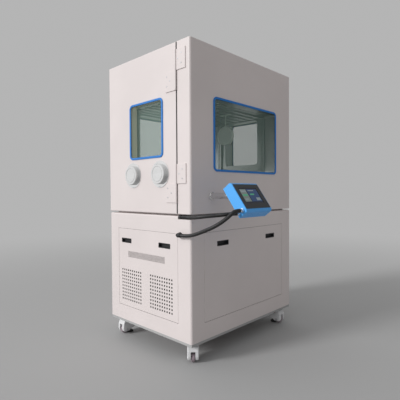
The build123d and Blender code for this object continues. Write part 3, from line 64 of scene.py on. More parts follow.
# The control head leans back on a spindle that lies along X
HEAD_TILT = math.radians(36.0)
HEAD_X = 0.170
SPINDLE_REACH = 0.2465
SPINDLE_Z = 0.951
HOUSING_HALF = 0.112
GLAND_LOW = -0.094
GLAND_LENGTH = 0.024
GLAND_OUTS = {"lower": 0.008, "upper": -0.018}
TILT_SIN, TILT_COS = math.sin(HEAD_TILT), math.cos(HEAD_TILT)
HEAD = Matrix.Translation(cabinet(HEAD_X, -SPINDLE_REACH, SPINDLE_Z)) @ Matrix(
    ((1, 0, 0, 0), (0, TILT_SIN, -TILT_COS, 0), (0, TILT_COS, TILT_SIN, 0), (0, 0, 0, 1))
)

# Camera
FOCAL_PIXELS = 372.89
FRAME_PIXELS = 400
SENSOR = 36.0
CAMERA_SPOT = cabinet(-1.4313, -1.4447, 0.9719)
CAMERA_YAW = math.radians(43.851)
CAMERA_PITCH = math.radians(-1.189)
CAMERA_ROLL = math.radians(0.343)


def add_camera():
    """Camera at the photograph's viewpoint."""
    forward = Vector(
        (
            math.cos(CAMERA_YAW) * math.cos(CAMERA_PITCH),
            math.sin(CAMERA_YAW) * math.cos(CAMERA_PITCH),
            math.sin(CAMERA_PITCH),
        )
    )
    level = Vector((math.sin(CAMERA_YAW), -math.cos(CAMERA_YAW), 0.0))
    down = forward.cross(level)
    right = level * math.cos(CAMERA_ROLL) + down * math.sin(CAMERA_ROLL)
    up = level * math.sin(CAMERA_ROLL) - down * math.cos(CAMERA_ROLL)
    data = bpy.data.cameras.new("camera")
    data.lens = FOCAL_PIXELS * SENSOR / FRAME_PIXELS
    data.sensor_width = SENSOR
    camera = bpy.data.objects.new("camera", data)
    bpy.context.scene.collection.objects.link(camera)
    turn = Matrix((right, up, -forward)).transposed().to_4x4()
    camera.matrix_world = Matrix.Translation(CAMERA_SPOT) @ turn
    bpy.context.scene.camera = camera


# Material helpers


def new_material(name, colour, roughness, metallic=0.0, specular=0.5):
    """Material whose flat values sit on the shader's own sockets."""
    material = bpy.data.materials.new(name)
    material.use_nodes = True
    shader = material.node_tree.nodes["Principled BSDF"]
    shader.inputs["Base Color"].default_value = (*colour, 1.0)
    shader.inputs["Roughness"].default_value = roughness
    shader.inputs["Metallic"].default_value = metallic
    shader.inputs["Specular IOR Level"].default_value = specular
    return material, material.node_tree, shader


def object_noise(tree, scale, detail=2.0, stretch=(1, 1, 1)):
    """Noise on the object's own coordinates, stretched per axis."""
    coordinates = tree.nodes.new("ShaderNodeTexCoord")
    mapping = tree.nodes.new("ShaderNodeMapping")
    mapping.inputs["Scale"].default_value = stretch
    noise = tree.nodes.new("ShaderNodeTexNoise")
    noise.inputs["Scale"].default_value = scale
    noise.inputs["Detail"].default_value = detail
    tree.links.new(coordinates.outputs["Object"], mapping.inputs["Vector"])
    tree.links.new(mapping.outputs["Vector"], noise.inputs["Vector"])
    return noise.outputs["Fac"]


def ramp(tree, factor, low, high, low_at=0.35, high_at=0.65):
    """Colour ramp between two colours."""
    node = tree.nodes.new("ShaderNodeValToRGB")
    node.color_ramp.elements[0].position = low_at
    node.color_ramp.elements[0].color = (*low, 1.0)
    node.color_ramp.elements[1].position = high_at
    node.color_ramp.elements[1].color = (*high, 1.0)
    tree.links.new(factor, node.inputs["Fac"])
    return node.outputs["Color"]


def spread(tree, factor, low, high):
    """Number that runs from low to high with the factor."""
    node = tree.nodes.new("ShaderNodeMapRange")
    node.inputs["From Min"].default_value = 0.3
    node.inputs["From Max"].default_value = 0.7
    node.inputs["To Min"].default_value = low
    node.inputs["To Max"].default_value = high
    tree.links.new(factor, node.inputs["Value"])
    return node.outputs["Result"]


def bump(tree, shader, factor, strength, depth):
    """Bump of a given depth in metres under the shader's normal."""
    node = tree.nodes.new("ShaderNodeBump")
    node.inputs["Strength"].default_value = strength
    node.inputs["Distance"].default_value = depth
    tree.links.new(factor, node.inputs["Height"])
    tree.links.new(node.outputs["Normal"], shader.inputs["Normal"])


def shaded(colour, share):
    """The colour, darker or lighter by a share."""
    return tuple(min(1.0, channel * share) for channel in colour)


def coated(name, colour, roughness, texture=900.0, depth=0.00006, swing=0.03):
    """Painted or moulded surface with a fine texture and slight cloudiness."""
    material, tree, shader = new_material(name, colour, roughness)
    clouds = object_noise(tree, 3.0, 4.0)
    tone = ramp(tree, clouds, shaded(colour, 1 - swing), shaded(colour, 1 + swing / 2))
    tree.links.new(tone, shader.inputs["Base Color"])
    grain = object_noise(tree, texture, 2.0)
    tree.links.new(spread(tree, grain, roughness - 0.05, roughness + 0.07), shader.inputs["Roughness"])
    bump(tree, shader, grain, 0.35, depth)
    return material


def brushed(name, colour, roughness, stretch):
    """Metal with brush lines, which run where the stretch is small."""
    material, tree, shader = new_material(name, colour, roughness, metallic=1.0)
    lines = object_noise(tree, 60.0, 3.0, stretch)
    tone = ramp(tree, lines, shaded(colour, 0.9), shaded(colour, 1.06))
    tree.links.new(tone, shader.inputs["Base Color"])
    tree.links.new(spread(tree, lines, roughness - 0.06, roughness + 0.1), shader.inputs["Roughness"])
    bump(tree, shader, lines, 0.15, 0.00004)
    return material


def polished(name, colour, roughness):
    """Plated metal with faint wipe marks."""
    material, tree, shader = new_material(name, colour, roughness, metallic=1.0)
    marks = object_noise(tree, 14.0, 5.0, (1, 1, 3))
    tree.links.new(spread(tree, marks, roughness, roughness + 0.07), shader.inputs["Roughness"])
    tone = ramp(tree, marks, shaded(colour, 0.95), colour)
    tree.links.new(tone, shader.inputs["Base Color"])
    return material


def clear_glass(name, tint, alpha):
    """Thin pane that tints a little what is behind it."""
    material, tree, shader = new_material(name, tint, 0.03, specular=0.8)
    shader.inputs["Alpha"].default_value = alpha
    streaks = object_noise(tree, 5.0, 3.0, (1, 1, 0.4))
    tree.links.new(spread(tree, streaks, 0.02, 0.06), shader.inputs["Roughness"])
    return material


def glowing(name, colour, strength):
    """Lit part of the screen, with a fine pixel grain."""
    material, tree, shader = new_material(name, colour, 0.25)
    grain = object_noise(tree, 2500.0, 1.0)
    tone = ramp(tree, grain, shaded(colour, 0.9), shaded(colour, 1.08))
    tree.links.new(tone, shader.inputs["Base Color"])
    tree.links.new(tone, shader.inputs["Emission Color"])
    shader.inputs["Emission Strength"].default_value = strength
    return material


finish = {
    "paint": coated("casing_powder_coat", (0.72, 0.655, 0.645), 0.42),
    "frame": coated("frame_paint", (0.42, 0.42, 0.42), 0.45),
    "foam": coated("panel_foam", (0.80, 0.74, 0.56), 0.9, texture=400.0, depth=0.0004),
    "stainless": brushed("stainless_sheet", (0.42, 0.44, 0.43), 0.34, (1, 1, 14)),
    "glass": clear_glass("pane_glass", (0.34, 0.52, 0.44), 0.09),
    "gasket": coated("blue_gasket", (0.012, 0.19, 0.60), 0.45, texture=500.0),
    "seal": coated("door_seal_rubber", (0.10, 0.10, 0.11), 0.7, texture=500.0),
    "filter": coated("filter_mat", (0.040, 0.046, 0.042), 0.9, texture=300.0, depth=0.0006),
    # painted shade: near-black finish for the strips that stand for the shade in the door and panel
    # joints
    "joint": coated("painted_joint_shade", (0.030, 0.028, 0.028), 0.7, texture=500.0),
    "dark_paint": coated("dark_enamel", (0.045, 0.045, 0.05), 0.4),
    "aluminium": brushed("mill_aluminium", (0.78, 0.79, 0.80), 0.36, (8, 1, 1)),
    # painted reflection: pale matte finish that stands for the stainless liner's reflection of the
    # window light
    "window_reflection_paint": coated("pale_window_reflection", (0.78, 0.84, 0.90), 0.25, swing=0.06),
    "dial": coated("dial_enamel", (0.80, 0.86, 0.80), 0.4),
    "chrome": polished("chrome_plate", (0.80, 0.80, 0.80), 0.07),
    "black": coated("black_moulding", (0.018, 0.018, 0.020), 0.5, texture=700.0, depth=0.0001),
    "blue": coated("blue_enamel", (0.09, 0.42, 0.93), 0.3, texture=500.0, depth=0.00003),
    "bezel": coated("charcoal_bezel", (0.030, 0.034, 0.040), 0.38, texture=600.0),
    "knob": coated("blue_knob", (0.03, 0.10, 0.38), 0.35),
    "conduit": coated("conduit_nylon", (0.012, 0.012, 0.013), 0.42, texture=600.0),
    "zinc": brushed("zinc_plate", (0.66, 0.67, 0.69), 0.35, (1, 4, 1)),
    "casting": coated("caster_casting", (0.74, 0.74, 0.75), 0.35, texture=350.0, depth=0.0001),
    "wheel": coated("wheel_nylon", (0.30, 0.24, 0.27), 0.5),
    "foot": coated("foot_rubber", (0.025, 0.025, 0.025), 0.75),
    "red": coated("thumbwheel_red", (0.55, 0.03, 0.03), 0.45),
    "display": coated("display_glass", (0.010, 0.018, 0.045), 0.12, texture=200.0),
    "pane_grey": glowing("screen_grey", (0.17, 0.21, 0.20), 0.25),
    "pane_blue": glowing("screen_blue", (0.02, 0.05, 0.13), 0.35),
    "mark_green": glowing("screen_green", (0.06, 0.30, 0.17), 0.4),
    "mark_pale": glowing("screen_pale", (0.22, 0.27, 0.29), 0.3),
}

CAD_FINISH = {
    "base_frame": "frame", "lower_casing": "paint", "upper_casing": "paint", "insulation": "foam",
    "chamber_liner": "stainless", "window_reveals": "stainless", "window_glass": "glass",
    "window_gaskets": "gasket", "ceiling_baffle": "stainless", "shelf_uprights": "stainless",
    "wire_shelf": "chrome", "fan_motor": "dark_paint", "circulation_fan": "aluminium",
    "evaporator_coil": "aluminium", "heater_coil": "stainless", "hanging_dial": "dial",
    "hinge_frame_leaves": "paint", "hinge_door_leaves": "paint", "door_skin": "paint",
    "door_insulation": "foam", "door_liner": "stainless", "door_seal": "seal",
    "door_window_glass": "glass", "door_window_gasket": "gasket", "port_sleeves": "chrome",
    "port_cap_right": "chrome", "port_cap_left": "chrome", "latch_base": "chrome",
    "latch_lever": "chrome", "latch_strike": "chrome", "service_panel_left": "paint",
    "service_panel_front": "paint", "panel_pulls_left": "black", "panel_pulls_front": "black",
    "compressor": "dark_paint", "condenser": "aluminium", "condenser_fan": "black",
    "electrical_box": "frame", "humidifier": "stainless", "control_arm": "chrome",
    "control_housing": "blue", "control_screen": "bezel", "head_glands": "chrome",
    "tilt_knob": "knob", "wall_glands": "black", "conduit_upper": "conduit",
    "conduit_lower": "conduit", "caster_plates": "zinc",
}
CASTER_NAMES = ("front_left", "front_right", "back_left", "back_right")
for caster in CASTER_NAMES:
    CAD_FINISH[f"caster_yoke_{caster}"] = "casting"
    CAD_FINISH[f"caster_wheel_{caster}"] = "wheel"
    CAD_FINISH[f"levelling_foot_{caster}"] = "foot"


def paint(piece, key):
    """Give a piece its finish."""
    piece.data.materials.clear()
    piece.data.materials.append(finish[key])


for node_name, key in CAD_FINISH.items():
    paint(nodes[node_name], key)


# Mesh helpers


def active(name):
    """The object that an operator has just made, under its own name."""
    piece = bpy.context.active_object
    piece.name = name
    piece.data.name = name
    return piece


def apply_place(piece):
    """Move a piece's place into its mesh."""
    bpy.ops.object.select_all(action="DESELECT")
    piece.select_set(True)
    bpy.context.view_layer.objects.active = piece
    bpy.ops.object.transform_apply(location=True, rotation=True, scale=True)
    piece.select_set(False)


def apply_modifier(piece, kind, **values):
    """Add one modifier and apply it."""
    bpy.context.view_layer.objects.active = piece
    modifier = piece.modifiers.new(kind.lower(), kind)
    for key, value in values.items():
        setattr(modifier, key, value)
    bpy.ops.object.modifier_apply(modifier=modifier.name)


def edit_faces(piece, wanted):
    """Enter edit mode with only the wanted faces selected."""
    bpy.context.view_layer.objects.active = piece
    for polygon in piece.data.polygons:
        polygon.select = wanted(polygon)
    for edge in piece.data.edges:
        edge.select = False
    for vertex in piece.data.vertices:
        vertex.select = False
    bpy.ops.object.mode_set(mode="EDIT")
    bpy.ops.mesh.select_mode(type="FACE")


def leave_edit():
    """Go back to object mode."""
    bpy.ops.object.mode_set(mode="OBJECT")


def smooth(piece, degrees=35.0):
    """Smooth shading up to an angle."""
    bpy.ops.object.select_all(action="DESELECT")
    piece.select_set(True)
    bpy.context.view_layer.objects.active = piece
    bpy.ops.object.shade_smooth_by_angle(angle=math.radians(degrees))
    piece.select_set(False)


def settle(piece, key, body="root", place=None):
    """Finish, place and body of a modelled piece."""
    if place is not None:
        piece.matrix_world = place @ piece.matrix_world
    apply_place(piece)
    paint(piece, key)
    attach(piece, body)
    return piece


def slab(name, size, middle, edge=0.0005):
    """Thin plate with eased edges."""
    bpy.ops.mesh.primitive_cube_add(size=1.0, location=middle, scale=size)
    piece = active(name)
    apply_place(piece)
    apply_modifier(piece, "BEVEL", width=edge, segments=2, limit_method="ANGLE")
    return piece


# Conduits from the control head to the cabinet
CONDUIT_RADIUS = 0.010
RIB_PITCH = 0.0042
RIB_DEPTH = 0.0011
RING_SIDES = 20
upper_start = HEAD @ Vector((-HOUSING_HALF - GLAND_LENGTH, GLAND_LOW, GLAND_OUTS["upper"]))
lower_start = HEAD @ Vector((-HOUSING_HALF - GLAND_LENGTH, GLAND_LOW, GLAND_OUTS["lower"]))
CONDUIT_ROUTES = {
    "upper": [
        tuple(upper_start - cabinet(0, 0, 0)),
        (-0.008, upper_start.y - FRONT, upper_start.z),
        (-0.046, -0.270, 0.861),
        (-0.072, -0.233, 0.857),
        (-0.078, -0.180, 0.851),
        (-0.064, -0.120, 0.844),
        (-0.034, -0.062, 0.838),
        (-0.002, -0.006, 0.835),
        (0.015, 0.042, 0.833),
        (0.015, 0.088, 0.833),
    ],
    "lower": [
        tuple(lower_start - cabinet(0, 0, 0)),
        (0.000, lower_start.y - FRONT, lower_start.z),
        (-0.032, -0.307, 0.863),
        (-0.054, -0.291, 0.840),
        (-0.063, -0.259, 0.817),
        (-0.061, -0.208, 0.794),
        (-0.050, -0.142, 0.772),
        (-0.036, -0.076, 0.751),
        (-0.026, -0.016, 0.737),
        (-0.022, 0.034, 0.733),
        (-0.022, 0.062, 0.733),
    ],
}


def smooth_route(name, points):
    """Points along the smooth spline that the route's points control."""
    data = bpy.data.curves.new(name, "CURVE")
    data.dimensions = "3D"
    data.resolution_u = 16
    spline = data.splines.new("NURBS")
    spline.points.add(len(points) - 1)
    for place, point in zip(spline.points, points):
        place.co = (*cabinet(*point), 1.0)
    spline.order_u = 3
    spline.use_endpoint_u = True
    holder = bpy.data.objects.new(name, data)
    bpy.context.scene.collection.objects.link(holder)
    bpy.context.view_layer.update()
    graph = bpy.context.evaluated_depsgraph_get()
    line = bpy.data.meshes.new_from_object(holder.evaluated_get(graph))
    found = [vertex.co.copy() for vertex in line.vertices]
    bpy.data.objects.remove(holder)
    return found


def along(points, step):
    """Places and directions at even steps along a line of points."""
    travelled = [0.0]
    for here, there in zip(points, points[1:]):
        travelled.append(travelled[-1] + (there - here).length)
    total = travelled[-1]
    count = max(2, round(total / step))
    span = 0
    for k in range(count + 1):
        distance = total * k / count
        while span < len(points) - 2 and travelled[span + 1] < distance:
            span += 1
        here, there = points[span], points[span + 1]
        share = (distance - travelled[span]) / (travelled[span + 1] - travelled[span])
        yield here.lerp(there, share), (there - here).normalized(), distance


def conduit_mesh(name, points):
    """Corrugated tube along the points, with closed ends."""
    vertices, faces = [], []
    side = Vector((0, 0, 1))
    rings = 0
    for place, direction, distance in along(points, RIB_PITCH / 4):
        side = (side - direction * side.dot(direction)).normalized()
        other = direction.cross(side)
        wave = 0.5 + 0.5 * math.cos(2 * math.pi * distance / RIB_PITCH)
        radius = CONDUIT_RADIUS - RIB_DEPTH * (1 - wave ** 0.6)
        for k in range(RING_SIDES):
            angle = 2 * math.pi * k / RING_SIDES
            vertices.append(place + radius * (math.cos(angle) * side + math.sin(angle) * other))
        rings += 1
    for ring in range(rings - 1):
        for k in range(RING_SIDES):
            following = (k + 1) % RING_SIDES
            a, b = ring * RING_SIDES, (ring + 1) * RING_SIDES
            faces.append((a + k, a + following, b + following, b + k))
    faces.append(tuple(reversed(range(RING_SIDES))))
    faces.append(tuple(range((rings - 1) * RING_SIDES, rings * RING_SIDES)))
    mesh = bpy.data.meshes.new(name)
    mesh.from_pydata([tuple(v) for v in vertices], [], faces)
    piece = bpy.data.objects.new(name, mesh)
    bpy.context.scene.collection.objects.link(piece)
    smooth(piece, 60.0)
    return piece


for route_name, route in CONDUIT_ROUTES.items():
    line = smooth_route(f"{route_name}_route", route)
    length = sum((b - a).length for a, b in zip(line, line[1:]))
    tube = conduit_mesh(f"{route_name}_conduit_tube", line)
    paint(tube, "conduit")
    tuple(line[0])
    [tuple(point) for point in line]
    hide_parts(f"conduit_{route_name}")
    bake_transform(tube)


# Screw heads
def screw_head(name, radius, height, place):
    """Raised head with a recess, its top along +Z before it is placed."""
    bpy.ops.mesh.primitive_cylinder_add(
        vertices=20, radius=radius, depth=height, location=(0, 0, height / 2)
    )
    piece = active(name)
    edit_faces(piece, lambda face: face.normal.z > 0.9)
    bpy.ops.mesh.inset(thickness=radius * 0.18, depth=radius * 0.12)
    bpy.ops.mesh.inset(thickness=radius * 0.35, depth=0.0)
    bpy.ops.mesh.extrude_region_move(TRANSFORM_OT_translate={"value": (0, 0, -height * 0.6)})
    leave_edit()
    smooth(piece, 30.0)
    piece.matrix_world = place
    return piece


FACE_LEFT = Matrix(((0, 0, -1, 0), (0, -1, 0, 0), (-1, 0, 0, 0), (0, 0, 0, 1)))
SCREW_HEIGHT = 0.0016
HINGE_LEAF = 0.005
HINGE_SCREW_RADIUS = 0.0042
HINGE_SCREWS = {
    "root": [
        (0.064, 1.745), (0.092, 1.719), (0.065, 1.690), (0.062, 1.103), (0.088, 1.077), (0.063, 1.050),
    ],
    "door": [
        (0.186, 1.635), (0.160, 1.608), (0.186, 1.580), (0.183, 0.996), (0.154, 0.969), (0.183, 0.943),
    ],
}
for body, spots in HINGE_SCREWS.items():
    for number, (y, z) in enumerate(spots, 1):
        place = Matrix.Translation(cabinet(-HINGE_LEAF, y, z)) @ FACE_LEFT
        head = screw_head(f"hinge_screw_{body}_{number}", HINGE_SCREW_RADIUS, SCREW_HEIGHT, place)
        settle(head, "zinc", body)

PORT_YS = (0.257, 0.521)
PORT_Z = 1.081
FLANGE_PROUD = 0.003
SCREW_BELOW_PORT = 0.0735
PORT_SCREW_RADIUS = 0.0040
for side, y in zip(("right", "left"), PORT_YS):
    place = Matrix.Translation(cabinet(-FLANGE_PROUD, y, PORT_Z - SCREW_BELOW_PORT)) @ FACE_LEFT
    head = screw_head(f"port_screw_{side}", PORT_SCREW_RADIUS, SCREW_HEIGHT, place)
    settle(head, "zinc", "door")


# Dark strips on the inner faces of the joint between door and stile: painted shade in the gap
GAP_SHADE_LOW, GAP_SHADE_HIGH = 0.852, 1.816
GAP_SHADE_MIDDLE = (GAP_SHADE_LOW + GAP_SHADE_HIGH) / 2
STILE_EDGE, DOOR_EDGE = 0.108, 0.113
EDGE_SHADE_STRIP = 0.0006
GAP_SHADE_DEPTH = 0.050
GAP_SHADE_SET_BACK = 0.0255
for name, y, body in (
    ("stile_edge_seal", STILE_EDGE + EDGE_SHADE_STRIP / 2, "root"),
    ("door_edge_seal", DOOR_EDGE - EDGE_SHADE_STRIP / 2, "door"),
):
    size = (GAP_SHADE_DEPTH, EDGE_SHADE_STRIP, GAP_SHADE_HIGH - GAP_SHADE_LOW)
    # painted shade: dark strip set inside the door joint
    seal = slab(name, size, cabinet(GAP_SHADE_SET_BACK, y, GAP_SHADE_MIDDLE), 0.0002)
    settle(seal, "joint", body)

# Dark strip on the stile's face along the same joint, painted shade that widens the joint's dark line
FACE_SHADE_WIDTH, FACE_SHADE_THICKNESS = 0.0042, 0.0010
lip_size = (FACE_SHADE_THICKNESS, FACE_SHADE_WIDTH, GAP_SHADE_HIGH - GAP_SHADE_LOW)
lip = slab("stile_face_shade_strip", lip_size, cabinet(0.0, STILE_EDGE - FACE_SHADE_WIDTH / 2, GAP_SHADE_MIDDLE), 0.0003)
settle(lip, "joint")


# Dark strips just inside the gaps round the service panels: painted shade in the panel joints
LEFT_OPENING = (0.107, 0.692, 0.224, 0.737)
FRONT_OPENING = (0.104, 0.928, 0.227, 0.742)
PANEL_SHADE_WIDTH, PANEL_SHADE_THICKNESS, PANEL_SHADE_DEPTH = 0.0014, 0.0008, 0.0026


def panel_gap_shade_strips(name, face, opening):
    """Four dark strips just inside the edges of an opening in the left or the front face, painted
    shade in the gap.
    """
    start, end, low, high = opening
    width = PANEL_SHADE_WIDTH
    across, tall = (start + end) / 2, (low + high) / 2
    spans = (
        (across, low + width / 2, end - start, width),
        (across, high - width / 2, end - start, width),
        (start + width / 2, tall, width, high - low - 2 * width),
        (end - width / 2, tall, width, high - low - 2 * width),
    )
    for number, (along_face, z, length, height) in enumerate(spans, 1):
        if face == "left":
            size = (PANEL_SHADE_THICKNESS, length, height)
            spot = cabinet(PANEL_SHADE_DEPTH, along_face, z)
        else:
            size = (length, PANEL_SHADE_THICKNESS, height)
            spot = cabinet(along_face, PANEL_SHADE_DEPTH, z)
        strip = slab(f"{name}_{number}", size, spot, 0.0001)
        settle(strip, "joint")


panel_gap_shade_strips("left_joint", "left", LEFT_OPENING)
panel_gap_shade_strips("front_joint", "front", FRONT_OPENING)

# Filter mats behind the left panel's slots and holes
FILTER_DEPTH, FILTER_THICKNESS = 0.0045, 0.003
# Name, middle along the door side, middle height, width, height
FILTERS = [
    ("slot_filter", 0.4035, 0.571, 0.372, 0.050),
    ("hole_filter_right", 0.2575, 0.3665, 0.222, 0.222),
    ("hole_filter_left", 0.5515, 0.3665, 0.222, 0.222),
]
for name, y, z, width, height in FILTERS:
    mat = slab(name, (FILTER_THICKNESS, width, height), cabinet(FILTER_DEPTH, y, z))
    settle(mat, "filter", "left_panel")

# Pale sheets beside the right wall's window: painted reflection of the window light on the stainless
# liner
RIGHT_WALL = 0.950
REFLECTION_SHEET_THICKNESS, REFLECTION_SHEET_INSET = 0.0012, 0.0008
# Name, middle from front to back, width, low, high
REFLECTION_SHEETS = [
    ("reflection_sheet_front", 0.108, 0.040, 0.960, 1.522),
    ("reflection_sheet_middle", 0.148, 0.022, 0.960, 1.522),
    ("reflection_sheet_back", 0.632, 0.050, 1.150, 1.522),
]
for name, y, width, low, high in REFLECTION_SHEETS:
    middle = cabinet(RIGHT_WALL - REFLECTION_SHEET_INSET, y, (low + high) / 2)
    sheet = slab(name, (REFLECTION_SHEET_THICKNESS, width, high - low), middle)
    settle(sheet, "window_reflection_paint")

# Caster trim: thumbwheel bands, plate bolts and hub caps
CASTER_INSET_X, CASTER_INSET_Y = 0.082, 0.072
CABINET_WIDTH, CABINET_DEPTH = RIGHT - LEFT, BACK - FRONT
CASTER_SPOTS = {
    "front_left": (CASTER_INSET_X, CASTER_INSET_Y, 45.0),
    "front_right": (CABINET_WIDTH - CASTER_INSET_X, CASTER_INSET_Y, 90.0),
    "back_left": (CASTER_INSET_X, CABINET_DEPTH - CASTER_INSET_Y, 0.0),
    "back_right": (CABINET_WIDTH - CASTER_INSET_X, CABINET_DEPTH - CASTER_INSET_Y, 135.0),
}
THUMBWHEEL_RADIUS = 0.034
BAND_Z, BAND_HEIGHT, BAND_PROUD, BAND_SUNK = 0.0775, 0.0050, 0.0012, 0.0010
STEM_FORWARD = 0.020
HUB_BACK, HUB_Z, YOKE_SIDE = 0.026, 0.029, 0.031
HUB_RADIUS, HUB_DEPTH, HUB_EDGE = 0.0085, 0.0030, 0.0010
BOLT_SPREAD = 0.034
BOLT_CORNERS = ((-1, -1), (-1, 1), (1, -1), (1, 1))
BOLT_RADIUS, BOLT_HEIGHT, BOLT_LOWERED = 0.0055, 0.0036, 0.0016
PLATE_LOW = 0.108


def band(name, inner, outer, height, middle):
    """Plain ring with eased edges."""
    bpy.ops.mesh.primitive_cylinder_add(vertices=64, radius=outer, depth=height, location=middle)
    piece = active(name)
    apply_place(piece)
    edit_faces(piece, lambda face: abs(face.normal.z) > 0.9)
    bpy.ops.mesh.inset(thickness=outer - inner)
    bpy.ops.mesh.bridge_edge_loops()
    leave_edit()
    smooth(piece, 40.0)
    return piece


for caster, (x, y, heading) in CASTER_SPOTS.items():
    spot = Matrix.Translation(cabinet(x, y, 0)) @ Matrix.Rotation(math.radians(heading), 4, "Z")
    ring = band(
        f"thumbwheel_band_{caster}",
        THUMBWHEEL_RADIUS - BAND_SUNK,
        THUMBWHEEL_RADIUS + BAND_PROUD,
        BAND_HEIGHT,
        (STEM_FORWARD, 0, BAND_Z),
    )
    settle(ring, "red", f"foot_{caster}", spot)
    for side, turn in (("a", -1), ("b", 1)):
        bpy.ops.mesh.primitive_cylinder_add(
            vertices=24,
            radius=HUB_RADIUS,
            depth=HUB_DEPTH,
            location=(-HUB_BACK, turn * (YOKE_SIDE + HUB_DEPTH / 2), HUB_Z),
            rotation=(math.radians(90.0), 0, 0),
        )
        hub = active(f"hub_cap_{caster}_{side}")
        apply_place(hub)
        apply_modifier(hub, "BEVEL", width=HUB_EDGE, segments=3, limit_method="ANGLE")
        smooth(hub, 35.0)
        settle(hub, "zinc", f"caster_{caster}", spot)
    for number, (dx, dy) in enumerate(BOLT_CORNERS, 1):
        bolt_x, bolt_y = x + dx * BOLT_SPREAD, y + dy * BOLT_SPREAD
        bpy.ops.mesh.primitive_cylinder_add(
            vertices=6,
            radius=BOLT_RADIUS,
            depth=BOLT_HEIGHT,
            location=cabinet(bolt_x, bolt_y, PLATE_LOW - BOLT_LOWERED),
        )
        bolt = active(f"plate_bolt_{caster}_{number}")
        settle(bolt, "zinc")

# Boot over the arm's knuckle, with a small mark on its side
BOOT_START, BOOT_END = -0.158, -0.232
BOOT_SIZE = (0.030, BOOT_START - BOOT_END, 0.026)
MARK_SIZE = (0.0012, 0.010, 0.010)
MARK_OFFSET = Vector((0.0154, 0.010, 0))
boot_middle = cabinet(HEAD_X, (BOOT_START + BOOT_END) / 2, SPINDLE_Z)
boot = slab("knuckle_boot", BOOT_SIZE, boot_middle, 0.004)
smooth(boot, 40.0)
settle(boot, "black")
dot = slab("knuckle_mark", MARK_SIZE, boot_middle + MARK_OFFSET, 0.0004)
settle(dot, "mark_green")


# Screen contents: generic panes and readings
SCREEN_FLOOR = 0.0301
DISPLAY_SIZE = (0.157, 0.095, 0.0010)
DISPLAY_X, DISPLAY_Y = -0.004, -0.019
BLOCK_THICKNESS, PANE_LIFT, BAR_LIFT = 0.0006, 0.0007, 0.0010
display = slab("display_pane", DISPLAY_SIZE, (DISPLAY_X, DISPLAY_Y, SCREEN_FLOOR))
settle(display, "display", "head", HEAD)
# Name, finish, width, height, middle across, middle up
SCREEN_BLOCKS = [
    ("reading_pane", "pane_grey", 0.052, 0.078, -0.052, -0.018),
    ("trend_pane", "pane_blue", 0.088, 0.078, 0.024, -0.018),
    ("reading_bar_top", "mark_pale", 0.044, 0.012, -0.052, 0.008),
    ("reading_bar_middle", "mark_green", 0.044, 0.010, -0.052, -0.016),
    ("reading_bar_low", "mark_pale", 0.030, 0.008, -0.056, -0.042),
    ("trend_bar_top", "mark_pale", 0.050, 0.006, 0.014, 0.012),
    ("trend_bar_green", "mark_green", 0.034, 0.009, 0.010, -0.012),
    ("trend_box", "mark_pale", 0.034, 0.018, 0.044, -0.042),
]
for name, key, width, height, across, up in SCREEN_BLOCKS:
    lift = SCREEN_FLOOR + (PANE_LIFT if name.endswith("pane") else BAR_LIFT)
    size = (width, height, BLOCK_THICKNESS)
    block = slab(f"screen_{name}", size, (across, up, lift), edge=0.0002)
    settle(block, key, "head", HEAD)


# Plain floor and light
FLOOR_HALF = 30.0
FLOOR_COLOUR = (0.42, 0.42, 0.42)
BACKDROP = (0.46, 0.46, 0.46)
FADE_START = 1.6
FADE_END = 7.0
BRIGHT_SIDE = (-0.69, 0.69, 0.22)
WORLD_DIM = 0.17
WORLD_BRIGHT = 0.90
SUN_STRENGTH = 1.85
SUN_ANGLE = math.radians(14.0)
SUN_DIRECTION = Vector((1.0, -0.35, -0.50))


def add_floor():
    """Pale floor that fades into the backdrop's colour far away."""
    bpy.ops.mesh.primitive_plane_add(size=2 * FLOOR_HALF, location=(0, 0, 0))
    floor = active("floor")
    material, tree, shader = new_material("floor_paper", FLOOR_COLOUR, 0.85, specular=0.2)
    grain = object_noise(tree, 300.0, 2.0)
    bump(tree, shader, grain, 0.1, 0.0002)
    backdrop = tree.nodes.new("ShaderNodeEmission")
    backdrop.inputs["Color"].default_value = (*BACKDROP, 1.0)
    coordinates = tree.nodes.new("ShaderNodeTexCoord")
    distance = tree.nodes.new("ShaderNodeVectorMath")
    distance.operation = "LENGTH"
    fade = tree.nodes.new("ShaderNodeMapRange")
    fade.interpolation_type = "SMOOTHSTEP"
    fade.inputs["From Min"].default_value = FADE_START
    fade.inputs["From Max"].default_value = FADE_END
    mix = tree.nodes.new("ShaderNodeMixShader")
    output = tree.nodes["Material Output"]
    tree.links.new(coordinates.outputs["Object"], distance.inputs[0])
    tree.links.new(distance.outputs["Value"], fade.inputs["Value"])
    tree.links.new(fade.outputs["Result"], mix.inputs["Fac"])
    tree.links.new(shader.outputs["BSDF"], mix.inputs[1])
    tree.links.new(backdrop.outputs["Emission"], mix.inputs[2])
    tree.links.new(mix.outputs["Shader"], output.inputs["Surface"])
    floor.data.materials.append(material)


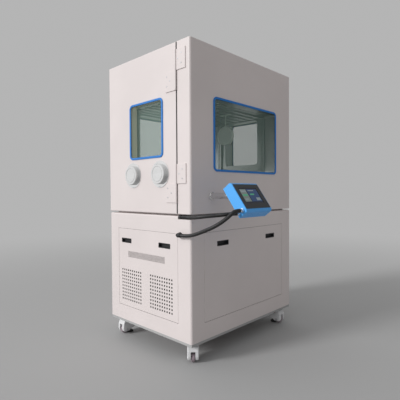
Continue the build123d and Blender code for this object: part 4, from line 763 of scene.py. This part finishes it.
def add_light():
    """Sun from the door side, and a world brighter at the back left, plain to the camera."""
    scene = bpy.context.scene
    world = bpy.data.worlds.new("studio")
    scene.world = world
    world.use_nodes = True
    tree = world.node_tree
    tree.nodes.clear()
    output = tree.nodes.new("ShaderNodeOutputWorld")
    seen = tree.nodes.new("ShaderNodeBackground")
    seen.inputs["Color"].default_value = (*BACKDROP, 1.0)
    lit = tree.nodes.new("ShaderNodeBackground")
    lit.inputs["Color"].default_value = (1.0, 1.0, 1.0, 1.0)
    sky = tree.nodes.new("ShaderNodeTexCoord")
    side = tree.nodes.new("ShaderNodeVectorMath")
    side.operation = "DOT_PRODUCT"
    side.inputs[1].default_value = BRIGHT_SIDE
    share = tree.nodes.new("ShaderNodeMapRange")
    share.inputs["From Min"].default_value = -1.0
    share.inputs["From Max"].default_value = 1.0
    share.inputs["To Min"].default_value = WORLD_DIM
    share.inputs["To Max"].default_value = WORLD_BRIGHT
    tree.links.new(sky.outputs["Generated"], side.inputs[0])
    tree.links.new(side.outputs["Value"], share.inputs["Value"])
    tree.links.new(share.outputs["Result"], lit.inputs["Strength"])
    rays = tree.nodes.new("ShaderNodeLightPath")
    direct = tree.nodes.new("ShaderNodeMath")
    direct.operation = "MAXIMUM"
    mix = tree.nodes.new("ShaderNodeMixShader")
    tree.links.new(rays.outputs["Is Camera Ray"], direct.inputs[0])
    tree.links.new(rays.outputs["Is Transmission Ray"], direct.inputs[1])
    tree.links.new(direct.outputs["Value"], mix.inputs["Fac"])
    tree.links.new(lit.outputs["Background"], mix.inputs[1])
    tree.links.new(seen.outputs["Background"], mix.inputs[2])
    tree.links.new(mix.outputs["Shader"], output.inputs["Surface"])
    sun = bpy.data.lights.new("key", "SUN")
    sun.energy = SUN_STRENGTH
    sun.angle = SUN_ANGLE
    lamp = bpy.data.objects.new("key", sun)
    scene.collection.objects.link(lamp)
    lamp.rotation_euler = SUN_DIRECTION.to_track_quat("-Z", "Y").to_euler()


add_floor()
add_light()
add_camera()
bpy.context.scene.view_settings.view_transform = "Standard"
